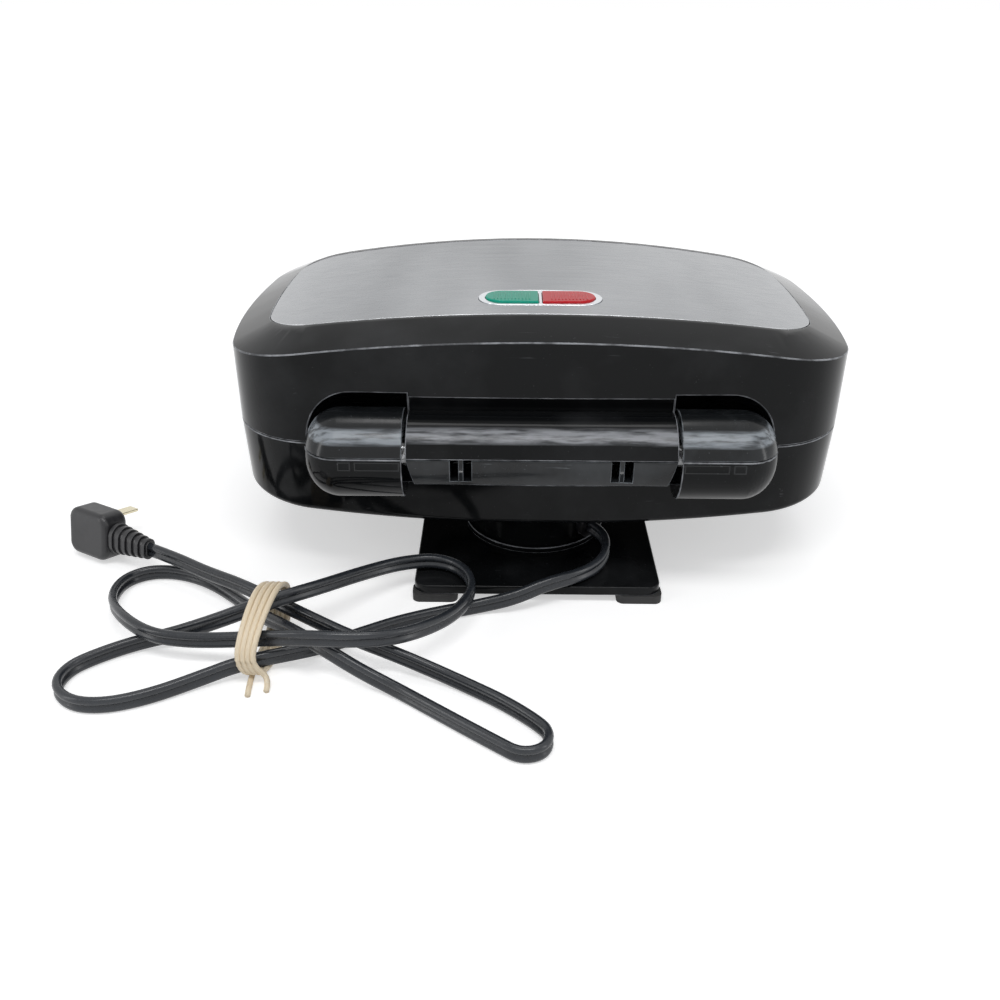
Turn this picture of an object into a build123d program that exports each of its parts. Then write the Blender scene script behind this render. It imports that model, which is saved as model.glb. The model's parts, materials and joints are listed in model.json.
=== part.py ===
"""A closed two-half waffle maker with swap-out plates, standing on its cord drum foot.

Millimetres. The floor is Z = 0, the handle faces -Y, the hinge is at +Y, X runs along the hinge.
The origin lies on the floor under the middle of the appliance.
"""
from build123d import *
from math import cos, hypot, pi, radians, sin, sqrt, tan
import os

os.makedirs("parts", exist_ok=True)

# Casing outline, seen from above
body_half_width = 152.0
body_half_depth = 90.5
body_y = 6.6
end_bulge_radius = 1300.0
side_bulge_radius = 295.0
body_corner_radius = 42.0
casing_wall = 2.6

# Heights of the casing
seam_z = 76.5
seam_gap = 0.4
lid_apex_z = 133.3
lid_arch_radius = 775.0
shoulder_drop = 5.3
shoulder_run = 20.0
base_bottom_z = 34.0
base_arch_radius = 1330.0
base_draft_angle = 2.6
base_edge_round = 4.0

# Brushed panel let into the lid
panel_half_width = 132.5
panel_half_depth = 66.5
panel_end_radius = 1200.0
panel_side_radius = 450.0
panel_corner_radius = 27.0
panel_thickness = 0.8
panel_pocket_depth = 1.4
panel_clearance = 0.4

# Indicator lights at the hinge side of the panel
light_y = 42.0
light_length = 53.0
light_width = 17.0
light_rim = 3.0
light_divider = 2.0
lens_height = 4.0
lens_clearance = 0.2
lamp_diameter = 6.0
lamp_length = 20.0

# Hinge
hinge_offset = 4.2
barrel_radius = 19.3
barrel_half_length = 60.4
barrel_wall = 3.0
knuckle_radius = 20.6
knuckle_inner_x = 61.9
knuckle_outer_x = 107.2
knuckle_end_round = 16.0
knuckle_wall = 3.0
hinge_clearance = 0.9
trough_wall = 2.4
pocket_gap = 6.5
pocket_end_gap = 2.0
groove_gap = 5.9
groove_depth = 3.6
groove_half_length = 60.0
cap_seam_rise = 5.5
barrel_seam_rise = 5.0
part_gap = 0.4
pin_radius = 6.0
pin_fit = 0.05
pin_bore_radius = 3.5
pin_inner_x = 54.0
pin_outer_x = 76.0
barrel_end_wall = 5.0
cover_radius = 18.4
cover_wall = 3.0
cover_drop = 8.2
cover_end_slope = 3.5
slot_x = 35.9
slot_width = 9.5
slot_height = 10.6
slot_rib = 2.4
slot_recess = 1.6

# Waffle plates
plate_half_width = 121.0
plate_half_depth = 64.5
plate_shift = -4.0
plate_corner_radius = 10.0
plate_rim_gap = 0.5
plate_skirt_depth = 19.0
plate_wall = 2.5
plate_floor_depth = 9.0
plate_floor = 3.5
waffle_size_x = 105.0
waffle_size_y = 112.0
waffle_split = 8.0
peg_count = 6
peg_height = 4.5
peg_gap = 5.5
deck_thickness = 2.0
deck_lip = 4.0
deck_lip_wall = 1.6
deck_clearance = 0.4

# Heating and wiring
element_radius = 3.2
element_half_width = 88.0
element_half_depth = 40.0
element_bend = 22.0
element_gap = 0.3
element_tail = 20.0
reflector_half_width = 116.0
reflector_half_depth = 50.0
reflector_thickness = 0.8
reflector_height = 8.0
reflector_depth = 28.0
post_radius = 5.0
post_x = 92.0
post_y = 44.0
screw_radius = 1.6
screw_head_radius = 3.2
screw_head_height = 2.2
screw_length = 12.0
screw_fit = 0.1
thermostat_radius = 8.0
thermostat_height = 9.0
fuse_radius = 2.2
fuse_length = 22.0
terminal_size = (30.0, 14.0, 10.5)

# Handles and latch
handle_width = 112.0
handle_reach = 30.0
handle_height = 17.0
handle_seam = 2.6
handle_round = 5.0
handle_root = 6.0
latch_width = 26.0
latch_side_gap = 0.6
latch_notch = 15.0
latch_pin_radius = 2.0
latch_pin_drop = 7.0
latch_eye_radius = 4.6
latch_thickness = 2.4
latch_gap = 1.0
latch_top = 4.0
latch_tab = 5.0
latch_bite = 2.4
latch_hook_height = 3.5
latch_hook_gap = 1.6
latch_ajar = 8.0
keeper_height = 8.5

# Plate release buttons
button_x = 78.0
button_width = 20.0
button_height = 9.0
button_proud = 3.6
button_drop = 22.1
button_flange = 1.5
flange_gap = 1.4
flange_lip = 1.5
button_clearance = 0.35
guide_y = -64.8
guide_thickness = 2.4
guide_width = 26.0
guide_depth = 16.5
stem_width = 6.0
stem_height = 4.0
catch_nose = 3.4
catch_gap = 0.4
catch_bar = 3.5
spring_radius = 4.6
spring_wire_radius = 0.5
spring_turns = 5

# Cord drum, its foot plate and the front legs
foot_half_width = 60.0
foot_rear_y = 110.8
foot_depth = 136.0
foot_top_z = 9.0
foot_bottom_z = 4.3
foot_skin = 3.0
foot_wall = 3.0
foot_corner_radius = 7.0
pad_length = 22.0
pad_width = 11.0
pad_proud = 0.8
drum_radius = 34.5
drum_wall = 2.5
drum_collar = 2.5
drum_collar_height = 3.0
drum_setback = 67.5
wire_hole_radius = 9.0
leg_x = 108.0
leg_y = -46.0
leg_tip_radius = 8.5
leg_pad_height = 3.0
leg_pad_radius = 7.5

# Power cord, flat two-core lead standing on its edge
cord_width = 7.8
cord_thickness = 3.9
bend_share = 0.45
relief_length = 12.0
relief_height = 12.0
relief_width = 8.0
relief_rib = 1.2
band_radius = 1.0
band_turns = 3
band_pitch = 2.5
band_start_x = 118.5
band_bend_share = 0.2
band_end = 10.0

# Plug, right-angled, lying on its narrow edge
plug_length = 27.0
plug_width = 25.0
plug_thickness = 15.0
plug_corner = 6.0
plug_round = 3.0
plug_lean = 12.0
plug_relief_length = 24.0
plug_relief_size = ((8.6, 5.2), (15.0, 11.0))
plug_ribs = 6
plug_rib_rise = 0.9
plug_rib_width = 2.2
blade_length = 16.0
blade_width = 6.3
blade_thickness = 1.5
blade_spacing = 12.7

# Places worked out from the sizes
hinge_y = body_y + body_half_depth + hinge_offset
front_wall_y = body_y - body_half_depth
handle_front_y = front_wall_y - handle_reach
drum_y = foot_rear_y - drum_setback
lid_bottom_z = seam_z + seam_gap / 2
base_top_z = seam_z - seam_gap / 2
plate_y = body_y + plate_shift
TALL = 400.0


def finish_part(builder, label, colour):
    """Name one finished piece and write it to its own file."""
    builder.part.label = label
    builder.part.color = Color(*colour)
    export_step(builder.part, f"parts/{label}.step")
    return builder.part


def bulged_outline(half_width, half_depth, end_radius, side_radius, corner):
    """Four shallow arcs with rounded corners, centred on the origin."""
    with BuildSketch() as outline:
        with Locations((0, half_depth - end_radius)):
            Circle(end_radius)
        with Locations((0, end_radius - half_depth)):
            Circle(end_radius, mode=Mode.INTERSECT)
        with Locations((half_width - side_radius, 0)):
            Circle(side_radius, mode=Mode.INTERSECT)
        with Locations((side_radius - half_width, 0)):
            Circle(side_radius, mode=Mode.INTERSECT)
        fillet(outline.vertices(), corner)
    return outline.sketch


def casing_outline(inset):
    """Outline of the casing, drawn in evenly by inset."""
    return bulged_outline(body_half_width - inset, body_half_depth - inset,
                          end_bulge_radius - inset, side_bulge_radius - inset,
                          body_corner_radius - inset)


def panel_outline(grow):
    """Outline of the brushed panel, grown evenly by grow."""
    return bulged_outline(panel_half_width + grow, panel_half_depth + grow,
                          panel_end_radius + grow, panel_side_radius + grow,
                          panel_corner_radius + grow)


def hinge_cylinder(radius, inner_x, outer_x, end_round=0.0):
    """Pair of cylinders on the hinge axis, from inner_x to outer_x on both sides."""
    with BuildPart() as pair:
        for side in (1, -1):
            with BuildSketch(Plane((side * inner_x, hinge_y, seam_z), z_dir=(side, 0, 0))):
                Circle(radius)
            extrude(amount=outer_x - inner_x)
        if end_round > 0:
            fillet(pair.faces().filter_by(Axis.X).group_by(Axis.X)[0].edges(), end_round)
            fillet(pair.faces().filter_by(Axis.X).group_by(Axis.X)[-1].edges(), end_round)
    return pair.part


def hood(inset, drop):
    """Everything under the arched lid top and its sloping shoulder, above the seam."""
    with BuildPart() as solid:
        with BuildSketch(Plane((0, body_y, lid_bottom_z))):
            add(casing_outline(inset))
        extrude(amount=TALL / 2)
        with BuildSketch(Plane.XZ):
            with Locations((0, lid_apex_z - drop - lid_arch_radius)):
                Circle(lid_arch_radius)
        extrude(amount=TALL, both=True, mode=Mode.INTERSECT)
        top = solid.faces().sort_by(Axis.Z)[-1]
        chamfer(top.edges(), shoulder_run, shoulder_drop, reference=top)
    return solid.part


def arched_slab(outline, top_drop, bottom_drop):
    """Slab with the given outline between two arched sheets below the lid's apex."""
    with BuildPart() as slab:
        with BuildSketch(Plane((0, body_y, seam_z))):
            add(outline)
        extrude(amount=TALL / 2)
        with BuildSketch(Plane.XZ):
            with Locations((0, lid_apex_z - lid_arch_radius)):
                Circle(lid_arch_radius - top_drop)
        extrude(amount=TALL, both=True, mode=Mode.INTERSECT)
        with BuildSketch(Plane.XZ):
            with Locations((0, lid_apex_z - lid_arch_radius)):
                Circle(lid_arch_radius - bottom_drop)
        extrude(amount=TALL, both=True, mode=Mode.SUBTRACT)
    return slab.part


def tub(inset, lift):
    """Everything inside the base casing, drawn in by inset and lifted off its belly."""
    depth = base_top_z - base_bottom_z + 2 * casing_wall
    with BuildPart() as solid:
        with BuildSketch(Plane((0, body_y, base_top_z), x_dir=(1, 0, 0), z_dir=(0, 0, -1))):
            add(casing_outline(inset))
        extrude(amount=depth, taper=base_draft_angle)
        with BuildSketch(Plane.XZ):
            with Locations((0, base_bottom_z + base_arch_radius)):
                Circle(base_arch_radius - lift)
        extrude(amount=TALL, both=True, mode=Mode.INTERSECT)
        fillet(solid.faces().sort_by(Axis.Z)[0].edges(), base_edge_round)
    return solid.part


def pill(length, width, plane, height):
    """Round-ended bar standing on a plane."""
    with BuildPart() as bar:
        with BuildSketch(plane):
            SlotOverall(length, width)
        extrude(amount=height)
    return bar.part


def mirrored(source):
    """The same piece turned over to the other side of the seam."""
    with BuildPart() as copy:
        mirror(source, about=Plane.XY.offset(seam_z))
    return copy


def guide_rib():
    """Rib inside the lid that the release button's stem slides through."""
    with BuildPart() as rib:
        with BuildSketch(Plane((button_x, guide_y, seam_z + guide_depth))):
            Rectangle(guide_width, guide_thickness)
        extrude(amount=TALL / 4)
    return rib.part


def button_way():
    """Holes that the lid's release button and its stem pass through."""
    with BuildPart() as way:
        with BuildSketch(Plane((button_x, handle_front_y, seam_z + button_drop),
                               x_dir=(1, 0, 0), z_dir=(0, 1, 0))):
            RectangleRounded(button_width + 2 * button_clearance,
                             button_height + 2 * button_clearance, button_height / 3)
        extrude(amount=guide_y - 2 * guide_thickness - handle_front_y)
        with BuildSketch(Plane((button_x, handle_front_y, seam_z + button_drop),
                               x_dir=(1, 0, 0), z_dir=(0, 1, 0))):
            Rectangle(stem_width + 2 * button_clearance, stem_height + 2 * button_clearance)
        extrude(amount=guide_y + guide_thickness - handle_front_y)
    return way.part


def corners(x, y):
    """Four places at the corners of a rectangle about the plate's middle."""
    return [(sx * x, plate_y + sy * y) for sx in (1, -1) for sy in (1, -1)]


# Casing of the lid, with the hinge barrel's upper half and the troughs over the knuckles
pocket_inner_x = knuckle_inner_x - hinge_clearance
pocket_outer_x = knuckle_outer_x + pocket_end_gap
pocket_reach = pocket_gap + trough_wall
lid_trough = hinge_cylinder(knuckle_radius + pocket_reach, pocket_inner_x - trough_wall,
                            pocket_outer_x + trough_wall, knuckle_end_round + pocket_reach)
lid_knuckle_room = hinge_cylinder(knuckle_radius + pocket_gap, pocket_inner_x, pocket_outer_x,
                                  knuckle_end_round + pocket_gap)
groove_back_y = body_y + body_half_depth - groove_depth
groove_radius = barrel_radius + groove_gap
barrel_seam_z = seam_z + barrel_seam_rise
lid_top_wall = panel_pocket_depth + casing_wall
light_plane = Plane((0, body_y + light_y, seam_z))
bezel_length = light_length + 2 * light_rim
bezel_width = light_width + 2 * light_rim

with BuildPart() as lid_cavity:
    add(hood(casing_wall, lid_top_wall))
    add(lid_trough, mode=Mode.SUBTRACT)
    with BuildSketch(Plane.YZ.offset(-pocket_inner_x)):
        with Locations((hinge_y, seam_z)):
            Circle(groove_radius + trough_wall)
        with Locations((groove_back_y - trough_wall - TALL / 2, seam_z)):
            Rectangle(TALL, TALL, mode=Mode.SUBTRACT)
    extrude(amount=2 * pocket_inner_x, mode=Mode.SUBTRACT)
    for (x, y) in corners(post_x, post_y):
        with BuildSketch(Plane((x, y, seam_z))):
            Circle(post_radius)
        extrude(amount=TALL / 2, mode=Mode.SUBTRACT)
    add(guide_rib(), mode=Mode.SUBTRACT)

with BuildPart() as lid_shell:
    add(hood(0, 0))
    add(lid_cavity.part, mode=Mode.SUBTRACT)
    add(arched_slab(panel_outline(panel_clearance), -panel_pocket_depth, panel_pocket_depth),
        mode=Mode.SUBTRACT)
    add(pill(bezel_length + 2 * lens_clearance, bezel_width + 2 * lens_clearance, light_plane,
             TALL / 2), mode=Mode.SUBTRACT)
    add(lid_knuckle_room, mode=Mode.SUBTRACT)
    with BuildSketch(Plane.YZ.offset(-groove_half_length)):
        with Locations((hinge_y, seam_z)):
            Circle(groove_radius)
        with Locations((groove_back_y - TALL / 2, seam_z)):
            Rectangle(TALL, TALL, mode=Mode.SUBTRACT)
    extrude(amount=2 * groove_half_length, mode=Mode.SUBTRACT)
    with BuildSketch(Plane.YZ.offset(-pocket_inner_x - part_gap)):
        with Locations((hinge_y, seam_z)):
            Circle(barrel_radius + part_gap)
        with Locations((hinge_y, barrel_seam_z + TALL / 2)):
            Rectangle(TALL, TALL, mode=Mode.SUBTRACT)
    extrude(amount=2 * (pocket_inner_x + part_gap), mode=Mode.SUBTRACT)
    with BuildSketch(Plane.YZ.offset(-barrel_half_length)):
        with Locations((hinge_y, seam_z)):
            Circle(barrel_radius)
        with Locations((hinge_y, barrel_seam_z - TALL / 2)):
            Rectangle(TALL, TALL, mode=Mode.SUBTRACT)
    extrude(amount=2 * barrel_half_length)
    with BuildSketch(Plane.YZ.offset(-barrel_half_length + barrel_end_wall)):
        with Locations((hinge_y, seam_z)):
            Circle(barrel_radius - barrel_wall)
    extrude(amount=2 * (barrel_half_length - barrel_end_wall), mode=Mode.SUBTRACT)
    add(hinge_cylinder(pin_radius + pin_fit, pin_inner_x - 1, pin_outer_x), mode=Mode.SUBTRACT)
    with BuildSketch(Plane((0, 0, seam_z))):
        with Locations(*corners(post_x, post_y)):
            Circle(post_radius + 1)
    extrude(amount=reflector_depth, mode=Mode.SUBTRACT)
    with BuildSketch(Plane((0, 0, seam_z + reflector_depth))):
        with Locations(*corners(post_x, post_y)):
            Circle(screw_radius + screw_fit)
    extrude(amount=screw_length, mode=Mode.SUBTRACT)
    add(button_way(), mode=Mode.SUBTRACT)
finish_part(lid_shell, "lid_shell", (0.05, 0.05, 0.06))

with BuildPart() as hinge_barrel_cover:
    cover_top_z = barrel_seam_z - part_gap
    cover_bottom_z = seam_z - cover_drop
    with BuildSketch(Plane.YZ.offset(-barrel_half_length)):
        with Locations((hinge_y, seam_z)):
            Circle(cover_radius)
        with Locations((hinge_y, cover_top_z + TALL / 2), (hinge_y, cover_bottom_z - TALL / 2)):
            Rectangle(TALL, TALL, mode=Mode.SUBTRACT)
    extrude(amount=2 * barrel_half_length)
    with BuildSketch(Plane.YZ.offset(-barrel_half_length + barrel_end_wall)):
        with Locations((hinge_y, seam_z)):
            Circle(cover_radius - cover_wall)
        with Locations((hinge_y, cover_bottom_z + cover_wall - TALL / 2)):
            Rectangle(TALL, TALL, mode=Mode.SUBTRACT)
    extrude(amount=2 * (barrel_half_length - barrel_end_wall), mode=Mode.SUBTRACT)
    with BuildSketch(Plane.XZ):
        for side in (1, -1):
            Polygon((side * barrel_half_length, cover_top_z), (side * TALL, cover_top_z),
                    (side * TALL, cover_bottom_z),
                    (side * (barrel_half_length - cover_end_slope), cover_bottom_z), align=None)
    extrude(amount=TALL, both=True, mode=Mode.SUBTRACT)
    add(hinge_cylinder(pin_radius + pin_fit, pin_inner_x - 1, pin_outer_x), mode=Mode.SUBTRACT)
    slot_side = (slot_width - slot_rib) / 2
    slot_z = cover_top_z - slot_height / 2
    with BuildSketch(Plane((0, hinge_y + cover_radius - slot_recess, slot_z), x_dir=(1, 0, 0),
                           z_dir=(0, 1, 0))):
        with Locations((slot_x, 0), (-slot_x, 0)):
            Rectangle(slot_width, slot_height)
    extrude(amount=cover_radius, mode=Mode.SUBTRACT)
    with BuildSketch(Plane((0, hinge_y, slot_z), x_dir=(1, 0, 0), z_dir=(0, 1, 0))):
        for side in (1, -1):
            for half in (1, -1):
                with Locations((side * slot_x + half * (slot_side + slot_rib) / 2, 0)):
                    Rectangle(slot_side, slot_height)
    extrude(amount=cover_radius, mode=Mode.SUBTRACT)
finish_part(hinge_barrel_cover, "hinge_barrel_cover", (0.07, 0.07, 0.08))

with BuildPart() as lid_panel:
    add(arched_slab(panel_outline(0), 0, panel_thickness))
    add(pill(bezel_length + 2 * lens_clearance, bezel_width + 2 * lens_clearance, light_plane,
             TALL / 2), mode=Mode.SUBTRACT)
finish_part(lid_panel, "lid_steel_panel", (0.7, 0.7, 0.72))

# Indicator lights: a dished rim, two ribbed lenses, and the lamps on their holder behind
light_seat_z = lid_apex_z - lens_height
with BuildPart() as lamp_bezel:
    add(pill(bezel_length, bezel_width, Plane((0, body_y + light_y, light_seat_z)), lens_height))
    add(pill(light_length, light_width, light_plane, TALL / 2), mode=Mode.SUBTRACT)
    with BuildSketch(Plane((0, body_y + light_y, light_seat_z))):
        Rectangle(light_divider - 2 * lens_clearance, light_width + light_rim)
    extrude(amount=lens_height)
finish_part(lamp_bezel, "lamp_bezel", (0.75, 0.76, 0.78))

for (label, side, colour) in (("green_lens", 1, (0.0, 0.5, 0.35)), ("red_lens", -1, (0.8, 0.1, 0.1))):
    with BuildPart() as lens:
        add(pill(light_length - 2 * lens_clearance, light_width - 2 * lens_clearance,
                 Plane((0, body_y + light_y, light_seat_z)), lens_height + 0.8))
        with BuildSketch(Plane((-side * light_length / 2, body_y + light_y, seam_z))):
            Rectangle(light_length + light_divider, 2 * light_width)
        extrude(amount=TALL / 2, mode=Mode.SUBTRACT)
        fillet(lens.faces().sort_by(Axis.Z)[-1].edges(), 0.6)
    finish_part(lens, label, colour)

holder_floor = 2.0
holder_z = light_seat_z - lamp_diameter - holder_floor - lens_clearance
with BuildPart() as lamp_holder:
    with BuildSketch(Plane((0, body_y + light_y, holder_z))):
        Rectangle(bezel_length + 4 * post_radius, light_width)
    extrude(amount=holder_floor)
    with BuildSketch(Plane((0, body_y + light_y, holder_z))):
        with Locations((bezel_length / 2 + post_radius, 0), (-bezel_length / 2 - post_radius, 0)):
            Circle(post_radius * 0.8)
    extrude(amount=lid_apex_z - lid_top_wall - holder_z)
    add(hood(casing_wall, lid_top_wall), mode=Mode.INTERSECT)
finish_part(lamp_holder, "lamp_holder", (0.8, 0.8, 0.75))

for (label, side) in (("green_lamp", 1), ("red_lamp", -1)):
    with BuildPart() as lamp:
        lamp_z = holder_z + holder_floor + lamp_diameter / 2
        with BuildSketch(Plane((side * (lamp_length / 2 + 3) - lamp_length / 2, body_y + light_y, lamp_z),
                               z_dir=(1, 0, 0))):
            Circle(lamp_diameter / 2)
        extrude(amount=lamp_length)
        fillet(lamp.faces().sort_by(Axis.X)[-1].edges(), 2.0)
    finish_part(lamp, label, (0.9, 0.7, 0.5))

# Casing of the base, with the knuckles' lower halves and the trough under the barrel
knuckles = hinge_cylinder(knuckle_radius, knuckle_inner_x, knuckle_outer_x, knuckle_end_round)
knuckle_hollow = hinge_cylinder(knuckle_radius - knuckle_wall, knuckle_inner_x + knuckle_wall,
                                knuckle_outer_x - knuckle_wall, knuckle_end_round - knuckle_wall)
pin_holes = hinge_cylinder(pin_radius + pin_fit, knuckle_inner_x - 1, pin_outer_x)

with BuildPart() as lower_knuckles:
    add(knuckles)
    split(bisect_by=Plane((0, 0, seam_z + cap_seam_rise)), keep=Keep.BOTTOM)

trough_reach = hinge_clearance + trough_wall
with BuildPart() as base_cavity:
    add(tub(casing_wall, casing_wall))
    with BuildSketch(Plane.YZ.offset(-knuckle_inner_x - trough_wall)):
        with Locations((hinge_y, seam_z)):
            Circle(barrel_radius + trough_reach)
    extrude(amount=2 * (knuckle_inner_x + trough_wall), mode=Mode.SUBTRACT)
    add(knuckles, mode=Mode.SUBTRACT)
    with BuildSketch(Plane((0, 0, base_bottom_z))):
        with Locations(*corners(post_x, post_y)):
            Circle(post_radius)
    extrude(amount=seam_z - reflector_depth - base_bottom_z, mode=Mode.SUBTRACT)
    add(mirrored(guide_rib()).part, mode=Mode.SUBTRACT)

with BuildPart() as base_shell:
    add(tub(0, 0))
    add(lower_knuckles.part)
    add(base_cavity.part, mode=Mode.SUBTRACT)
    add(knuckle_hollow, mode=Mode.SUBTRACT)
    with BuildSketch(Plane.YZ.offset(-knuckle_inner_x)):
        with Locations((hinge_y, seam_z)):
            Circle(barrel_radius + hinge_clearance)
    extrude(amount=2 * knuckle_inner_x, mode=Mode.SUBTRACT)
    add(pin_holes, mode=Mode.SUBTRACT)
    with BuildSketch(Plane((0, 0, seam_z - reflector_depth), x_dir=(1, 0, 0), z_dir=(0, 0, -1))):
        with Locations(*[(x, -y) for (x, y) in corners(post_x, post_y)]):
            Circle(screw_radius + screw_fit)
    extrude(amount=screw_length, mode=Mode.SUBTRACT)
    with BuildSketch(Plane((0, drum_y, base_bottom_z))):
        Circle(wire_hole_radius)
    extrude(amount=2 * casing_wall, both=True, mode=Mode.SUBTRACT)
    add(mirrored(button_way()).part, mode=Mode.SUBTRACT)
finish_part(base_shell, "base_shell", (0.05, 0.05, 0.06))
print("base shell solids", len(base_shell.part.solids()), "volume", base_shell.part.volume)

for (label, side) in (("left_knuckle_cap", -1), ("right_knuckle_cap", 1)):
    with BuildPart() as cap:
        add(knuckles)
        add(knuckle_hollow, mode=Mode.SUBTRACT)
        add(pin_holes, mode=Mode.SUBTRACT)
        split(bisect_by=Plane((0, 0, seam_z + cap_seam_rise + part_gap)), keep=Keep.TOP)
        split(bisect_by=Plane.YZ, keep=Keep.TOP if side > 0 else Keep.BOTTOM)
    finish_part(cap, label, (0.06, 0.06, 0.07))

for (label, side) in (("left_hinge_pin", -1), ("right_hinge_pin", 1)):
    with BuildPart() as pin:
        add(hinge_cylinder(pin_radius, pin_inner_x, pin_outer_x))
        add(hinge_cylinder(pin_bore_radius, pin_inner_x, pin_outer_x), mode=Mode.SUBTRACT)
        split(bisect_by=Plane.YZ, keep=Keep.TOP if side > 0 else Keep.BOTTOM)
    finish_part(pin, label, (0.75, 0.75, 0.75))

# Waffle plate: a skirted tray with two pegged squares
plate_top_z = seam_z - plate_rim_gap
plate_floor_z = plate_top_z - plate_floor_depth
catch_z = plate_top_z - plate_skirt_depth + 4.0
with BuildPart() as lower_plate:
    with BuildSketch(Plane((0, plate_y, plate_top_z), x_dir=(1, 0, 0), z_dir=(0, 0, -1))):
        RectangleRounded(2 * plate_half_width, 2 * plate_half_depth, plate_corner_radius)
    extrude(amount=plate_skirt_depth)
    with BuildSketch(Plane((0, plate_y, plate_top_z - plate_skirt_depth))):
        RectangleRounded(2 * (plate_half_width - plate_wall), 2 * (plate_half_depth - plate_wall),
                         plate_corner_radius - plate_wall)
    extrude(amount=plate_skirt_depth - plate_floor_depth - plate_floor, mode=Mode.SUBTRACT)
    cell_x = (waffle_size_x + waffle_split) / 2
    with BuildSketch(Plane((0, plate_y, plate_top_z), x_dir=(1, 0, 0), z_dir=(0, 0, -1))):
        with Locations((cell_x, 0), (-cell_x, 0)):
            RectangleRounded(waffle_size_x, waffle_size_y, plate_corner_radius / 2)
    extrude(amount=plate_floor_depth, taper=8, mode=Mode.SUBTRACT)
    peg_pitch_x = (waffle_size_x - peg_gap) / peg_count
    peg_pitch_y = (waffle_size_y - peg_gap) / peg_count
    with BuildSketch(Plane((0, plate_y, plate_floor_z))):
        with Locations((cell_x, 0), (-cell_x, 0)):
            with GridLocations(peg_pitch_x, peg_pitch_y, peg_count, peg_count):
                Rectangle(peg_pitch_x - peg_gap, peg_pitch_y - peg_gap)
    extrude(amount=peg_height, taper=10)
    with BuildSketch(Plane((button_x, plate_y - plate_half_depth - 1, catch_z),
                           x_dir=(1, 0, 0), z_dir=(0, 1, 0))):
        Rectangle(stem_width + 2 * catch_gap, catch_nose + 2 * catch_gap)
    extrude(amount=plate_wall + 2, mode=Mode.SUBTRACT)
finish_part(lower_plate, "lower_waffle_plate", (0.18, 0.18, 0.19))
finish_part(mirrored(lower_plate.part), "upper_waffle_plate", (0.18, 0.18, 0.19))

# Deck frame between the casing wall and the plate, its lip turned down beside the plate
deck_top_z = base_top_z - casing_wall / 10


def deck_frame(reach):
    """Lower deck frame, notched for a hinge trough that reaches this far round the knuckles."""
    lip_x = plate_half_width + deck_clearance
    lip_y = plate_half_depth + deck_clearance
    lip_corner = plate_corner_radius + deck_clearance
    with BuildPart() as deck:
        with BuildSketch(Plane((0, body_y, deck_top_z), x_dir=(1, 0, 0), z_dir=(0, 0, -1))):
            add(casing_outline(casing_wall + deck_clearance))
        extrude(amount=deck_thickness)
        with BuildSketch(Plane((0, plate_y, deck_top_z), x_dir=(1, 0, 0), z_dir=(0, 0, -1))):
            RectangleRounded(2 * (lip_x + deck_lip_wall), 2 * (lip_y + deck_lip_wall),
                             lip_corner + deck_lip_wall)
        extrude(amount=deck_thickness + deck_lip)
        with BuildSketch(Plane((0, plate_y, deck_top_z + 1), x_dir=(1, 0, 0), z_dir=(0, 0, -1))):
            RectangleRounded(2 * lip_x, 2 * lip_y, lip_corner)
        extrude(amount=TALL / 4, mode=Mode.SUBTRACT)
        deck_notch = knuckle_outer_x + reach + deck_clearance
        with BuildSketch(Plane.YZ.offset(-deck_notch)):
            with Locations((hinge_y, seam_z)):
                Circle(knuckle_radius + reach + deck_clearance)
        extrude(amount=2 * deck_notch, mode=Mode.SUBTRACT)
    return deck


finish_part(deck_frame(trough_reach), "lower_deck_frame", (0.12, 0.12, 0.13))
finish_part(mirrored(deck_frame(pocket_reach).part), "upper_deck_frame", (0.12, 0.12, 0.13))

# Heating element: one bent rod under the plate, its tails turned away from the plate
element_z = plate_floor_z - plate_floor - element_gap - element_radius
tail_y = plate_y + element_half_depth
with BuildPart() as lower_element:
    with BuildLine() as element_path:
        FilletPolyline((-element_tail, tail_y, element_z - 2 * element_radius),
                       (-element_tail, tail_y, element_z),
                       (-element_half_width, tail_y, element_z),
                       (-element_half_width, plate_y - element_half_depth, element_z),
                       (element_half_width, plate_y - element_half_depth, element_z),
                       (element_half_width, tail_y, element_z),
                       (element_tail, tail_y, element_z),
                       (element_tail, tail_y, element_z - 2 * element_radius),
                       radius=[element_radius * 1.5, element_bend, element_bend, element_bend,
                               element_bend, element_radius * 1.5])
    with BuildSketch(Plane(element_path.line @ 0, z_dir=element_path.line % 0)):
        Circle(element_radius)
    sweep()
finish_part(lower_element, "lower_heating_element", (0.4, 0.4, 0.42))
finish_part(mirrored(lower_element.part), "upper_heating_element", (0.4, 0.4, 0.42))

# Reflector tray behind the element, on the casing's posts
reflector_z = seam_z - reflector_depth
with BuildPart() as lower_reflector:
    with BuildSketch(Plane((0, plate_y, reflector_z))):
        RectangleRounded(2 * reflector_half_width, 2 * reflector_half_depth, plate_corner_radius)
    extrude(amount=reflector_height)
    with BuildSketch(Plane((0, plate_y, reflector_z + reflector_thickness))):
        RectangleRounded(2 * (reflector_half_width - reflector_thickness),
                         2 * (reflector_half_depth - reflector_thickness),
                         plate_corner_radius - reflector_thickness)
    extrude(amount=reflector_height, mode=Mode.SUBTRACT)
    with BuildSketch(Plane((0, 0, reflector_z))):
        with Locations(*corners(post_x, post_y)):
            Circle(screw_radius + screw_fit)
    extrude(amount=reflector_thickness, mode=Mode.SUBTRACT)
finish_part(lower_reflector, "lower_reflector", (0.7, 0.7, 0.7))
finish_part(mirrored(lower_reflector.part), "upper_reflector", (0.7, 0.7, 0.7))

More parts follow.
